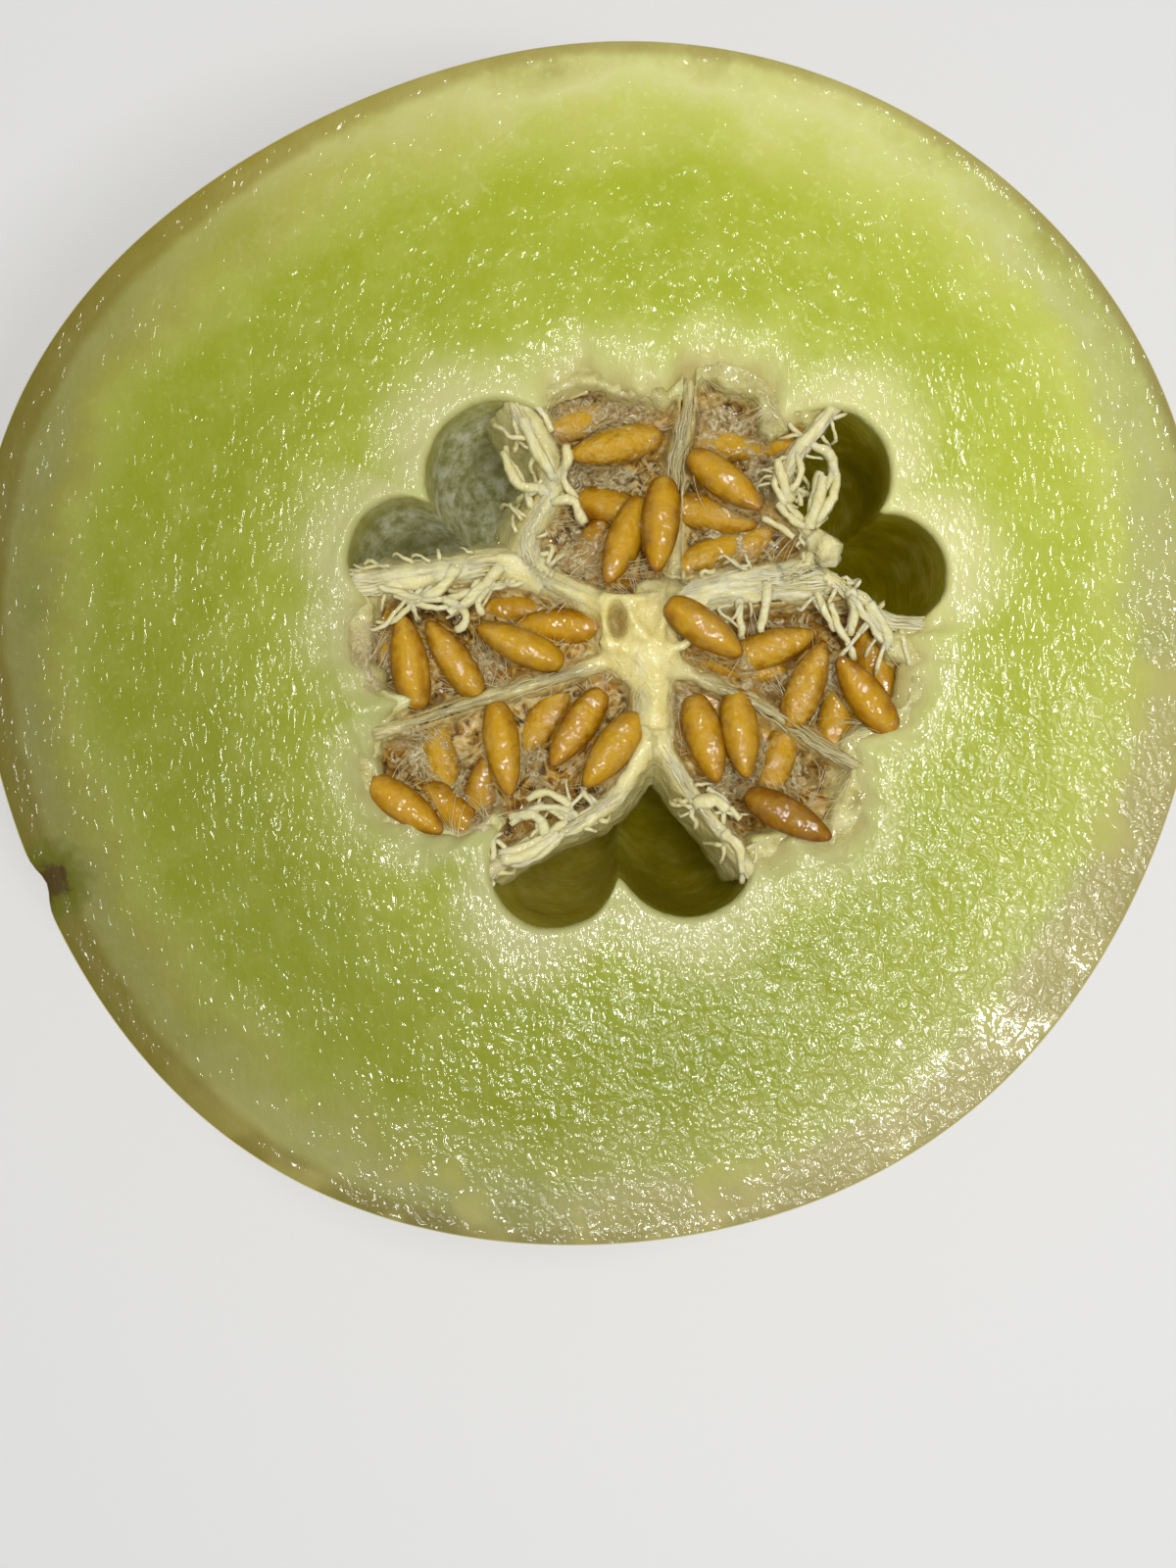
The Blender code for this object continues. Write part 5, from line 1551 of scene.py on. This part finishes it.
def seedMaterial():
    material = newMaterial("amberSeedCoat")
    mottled = noiseValue(2.2 * mm, detail=4)
    amber = ramp(mottled, [(0.3, (136, 86, 0)), (0.52, (167, 119, 2)), (0.75, (188, 146, 12))])
    # the seed's middle is painted paler and its sides darker: partly the seed's own darker margin, partly
    # painted shade where its sides turn away from the light
    pale = blend(rescale(attribute("seedEdge"), 0.8, 0.2), amber, linear(198, 150, 30))
    rim = rescale(attribute("seedEdge"), 0.72, 1.05)
    colour = tint(pale, (118, 62, 0), rim, 0.85)
    tip = rescale(attribute("seedAlong"), 0.84, 0.99)
    colour = tint(colour, (128, 54, 8), tip, 0.55)
    lighter = times(attribute("tone"), 1.0, clamp=True)
    colour = blend(lighter, colour, linear(204, 164, 40))
    darker = times(attribute("tone"), -1.0, clamp=True)
    colour = blend(darker, colour, linear(112, 66, 0))
    coat = times(attribute("coat"), rescale(noiseValue(1.1 * mm, detail=4), 0.42, 0.7))
    colour = tint(colour, (206, 170, 84), coat, 0.5)
    knobs = times(noiseValue(1.1 * mm, detail=3), plus(0.22, attribute("coat")))
    normal = bump(noiseValue(2.4 * mm, detail=2), 0.75 * mm)
    normal = bump(knobs, 0.42 * mm, under=normal)
    shader = skin(colour, normal, 0.4, IOR=1.45, Specular_IOR_Level=0.12, Subsurface_Weight=0.2,
            Subsurface_Scale=0.001, Subsurface_Radius=(1.0, 0.6, 0.1), Coat_IOR=1.52, Coat_Roughness=0.05)
    feed(shader.inputs["Coat Weight"], rescale(noiseValue(2.0 * mm, detail=2), 0.44, 0.58, 0.12, 1.0))
    return material


def pulpMaterial():
    material = newMaterial("wetPulp")
    strandy = noiseValue(2.6 * mm, detail=2.5, rough=0.55, warp=1.6)
    brown = ramp(strandy, [(0.36, (72, 46, 4)), (0.45, (142, 100, 24)), (0.56, (188, 150, 64)),
            (0.7, (222, 200, 136))])
    amberPatch = rescale(noiseValue(5 * mm, detail=2), 0.5, 0.66)
    brown = tint(brown, (190, 130, 34), amberPatch, 0.5)
    # painted shade: the deeper pulp between the seeds is painted dark brown
    deep = rescale(attribute("drop"), 3.6, 6.6)
    colour = tint(brown, (78, 54, 12), deep, 0.62)
    besideWall = rescale(plus(attribute("toWall"), times(noiseValue(1.8 * mm, detail=4), 1.6)), 2.2, 0.6)
    colour = tint(colour, (204, 186, 120), besideWall, 0.6)
    skins = rescale(noiseValue(3.0 * mm, detail=2, rough=0.5, warp=2.4), 0.52, 0.6)
    colour = tint(colour, (222, 202, 146), skins, 0.62)
    uneven = times(minus(noiseValue(1.4 * mm, detail=5, rough=0.65), 0.5), 0.8)
    shelf = rescale(plus(attribute("shelf"), uneven), 0.25, 0.8)
    shelfTone = ramp(noiseValue(3 * mm, detail=4), [(0.3, (176, 166, 96)), (0.5, (202, 196, 128)),
            (0.7, (218, 214, 154))])
    colour = blend(times(shelf, 0.92), colour, shelfTone)
    wet = bump(noiseValue(1.2 * mm, detail=1, rough=0.5, warp=0.6), 0.4 * mm)
    shader = skin(colour, bump(strandy, 0.6 * mm), 0.35, wet, IOR=1.4, Specular_IOR_Level=0.15,
            Subsurface_Weight=0.25, Subsurface_Scale=0.002, Subsurface_Radius=(1.0, 0.7, 0.3),
            Coat_IOR=1.6, Coat_Roughness=0.05)
    feed(shader.inputs["Coat Weight"], rescale(strandy, 0.4, 0.6, 0.9, 0.25))
    return material


def fibreMaterial():
    material = newMaterial("whiteFibre")
    tone = ramp(noiseValue(3 * mm, detail=2), [(0.35, (214, 196, 140)), (0.65, (240, 230, 188))])
    normal = bump(noiseValue(0.6 * mm), 0.05 * mm)
    skin(tone, normal, 0.45, IOR=1.35, Coat_Weight=0.15, Coat_Roughness=0.15)
    return material


def veilMaterial():
    material = newMaterial("clearVeil")
    fibres = noiseValue(1.3 * mm, detail=6, rough=0.7, warp=1.5)
    tone = ramp(fibres, [(0.35, (186, 156, 86)), (0.6, (230, 216, 168))])
    uneven = times(minus(noiseValue(2 * mm, detail=4), 0.5), 1.6)
    edge = rescale(plus(attribute("veilEdge"), uneven), 1.0, 0.55)
    cover = times(edge, plus(0.1, rescale(fibres, 0.42, 0.64, 0, 0.65)))
    normal = bump(noiseValue(1.0 * mm, detail=4, warp=1.0), 0.6 * mm)
    shader = skin(tone, normal, 0.18, IOR=1.4, Coat_Weight=1.0, Coat_Roughness=0.05)
    feed(shader.inputs["Alpha"], cover)
    return material


print("seeds and pulp")
seedCoat, wetPulp, whiteFibre, clearVeil = seedMaterial(), pulpMaterial(), fibreMaterial(), veilMaterial()
seedShape = seedPrototype()
seedsTree = seedTree()
seedPieces = []
for name, pocket in pockets.items():
    rng = np.random.default_rng(pulpForm["seed"] + len(seedPieces))
    pulp, surface = pocketPulp(pocket)
    seedMesh = grow(seedPoints(name + "Places", pocket["seeds"], rng), seedsTree,
            {"Seed Shape": seedShape, "Dimple": 0.12 * mm, "Dimple Size": 3.0 * mm, "Finish": seedCoat})
    carried = {key: readAttribute(seedMesh, key) for key in ("seedAlong", "seedEdge", "tone", "coat")}
    seedParts = meshChunk(seedMesh, 0, **carried)
    webMesh = grow(pathObject(name + "Web", webPaths(pocket, surface, rng)), strands,
            {"Spacing": 0.6 * mm, "Wander": 0.22 * mm, "Wander Size": 5.0 * mm, "Sides": 4, "Seed": 2.0,
             "Finish": whiteFibre})
    piece = makeObject(name, [seedParts, pulp, meshChunk(webMesh, 2), *veilChunks(pocket, surface)],
            [seedCoat, wetPulp, whiteFibre, clearVeil])
    faceOutward(piece)
    seedPieces.append((piece, pocket["node"]))
    print(name, "faces", len(piece.data.polygons))
bpy.data.objects.remove(seedShape)


# Floor, light and camera
studio = {
    "floorSize": 3.0,
    "floorTone": 0.86,
    "worldTone": 0.4,
    "lights": [  # name, place, aim and size in metres, and power in watts
        ("window", (0.134, -0.112, 0.48), (0.043, -0.048, 0.08), (0.05, 0.09), 0.5),
        ("overhead", (0.03, 0.08, 0.9), (0, 0, cutHeight), (0.06, 0.3), 2.9),
    ],
    "cameraPlace": (0.0, -0.0176, 0.269),
    "lens": 35,
    "filmWidth": 36,
}


def softLight(name, spot, aim, size, power):
    lamp = bpy.data.lights.new(name, "AREA")
    lamp.shape = "RECTANGLE"
    lamp.size, lamp.size_y = size
    lamp.energy = power
    obj = addObject(name, lamp)
    obj.location = spot
    obj.rotation_euler = (Vector(aim) - Vector(spot)).to_track_quat("-Z", "Y").to_euler()


print("studio")
half = studio["floorSize"] / 2
floorMesh = bpy.data.meshes.new("floor")
floorMesh.from_pydata([(-half, -half, 0), (half, -half, 0), (half, half, 0), (-half, half, 0)], [],
        [(0, 1, 2, 3)])
floor = addObject("floor", floorMesh)
floorPaint = newMaterial("paleFloor")
skin([studio["floorTone"]] * 3 + [1.0], None, 0.9)
floorMesh.materials.append(floorPaint)
for name, spot, aim, size, power in studio["lights"]:
    softLight(name, spot, aim, size, power)
world = bpy.data.worlds.new("softRoom")
world.use_nodes = True
world.node_tree.nodes["Background"].inputs["Color"].default_value = [1.0, 1.0, 1.0, 1.0]
world.node_tree.nodes["Background"].inputs["Strength"].default_value = studio["worldTone"]
bpy.context.scene.world = world
bpy.context.scene.view_settings.view_transform = "Standard"

cameraData = bpy.data.cameras.new("camera")
cameraData.lens = studio["lens"]
cameraData.sensor_width = studio["filmWidth"]
cameraData.clip_start = 0.01
camera = addObject("camera", cameraData)
camera.location = studio["cameraPlace"]
bpy.context.scene.camera = camera

# How the pieces belong to the solids
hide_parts("melon_half")
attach(melonBody, "root")
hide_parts("placenta")
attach(seedTissue, "root")
for piece, node in seedPieces:
    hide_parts(node)
    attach(piece, "root")
print("done")
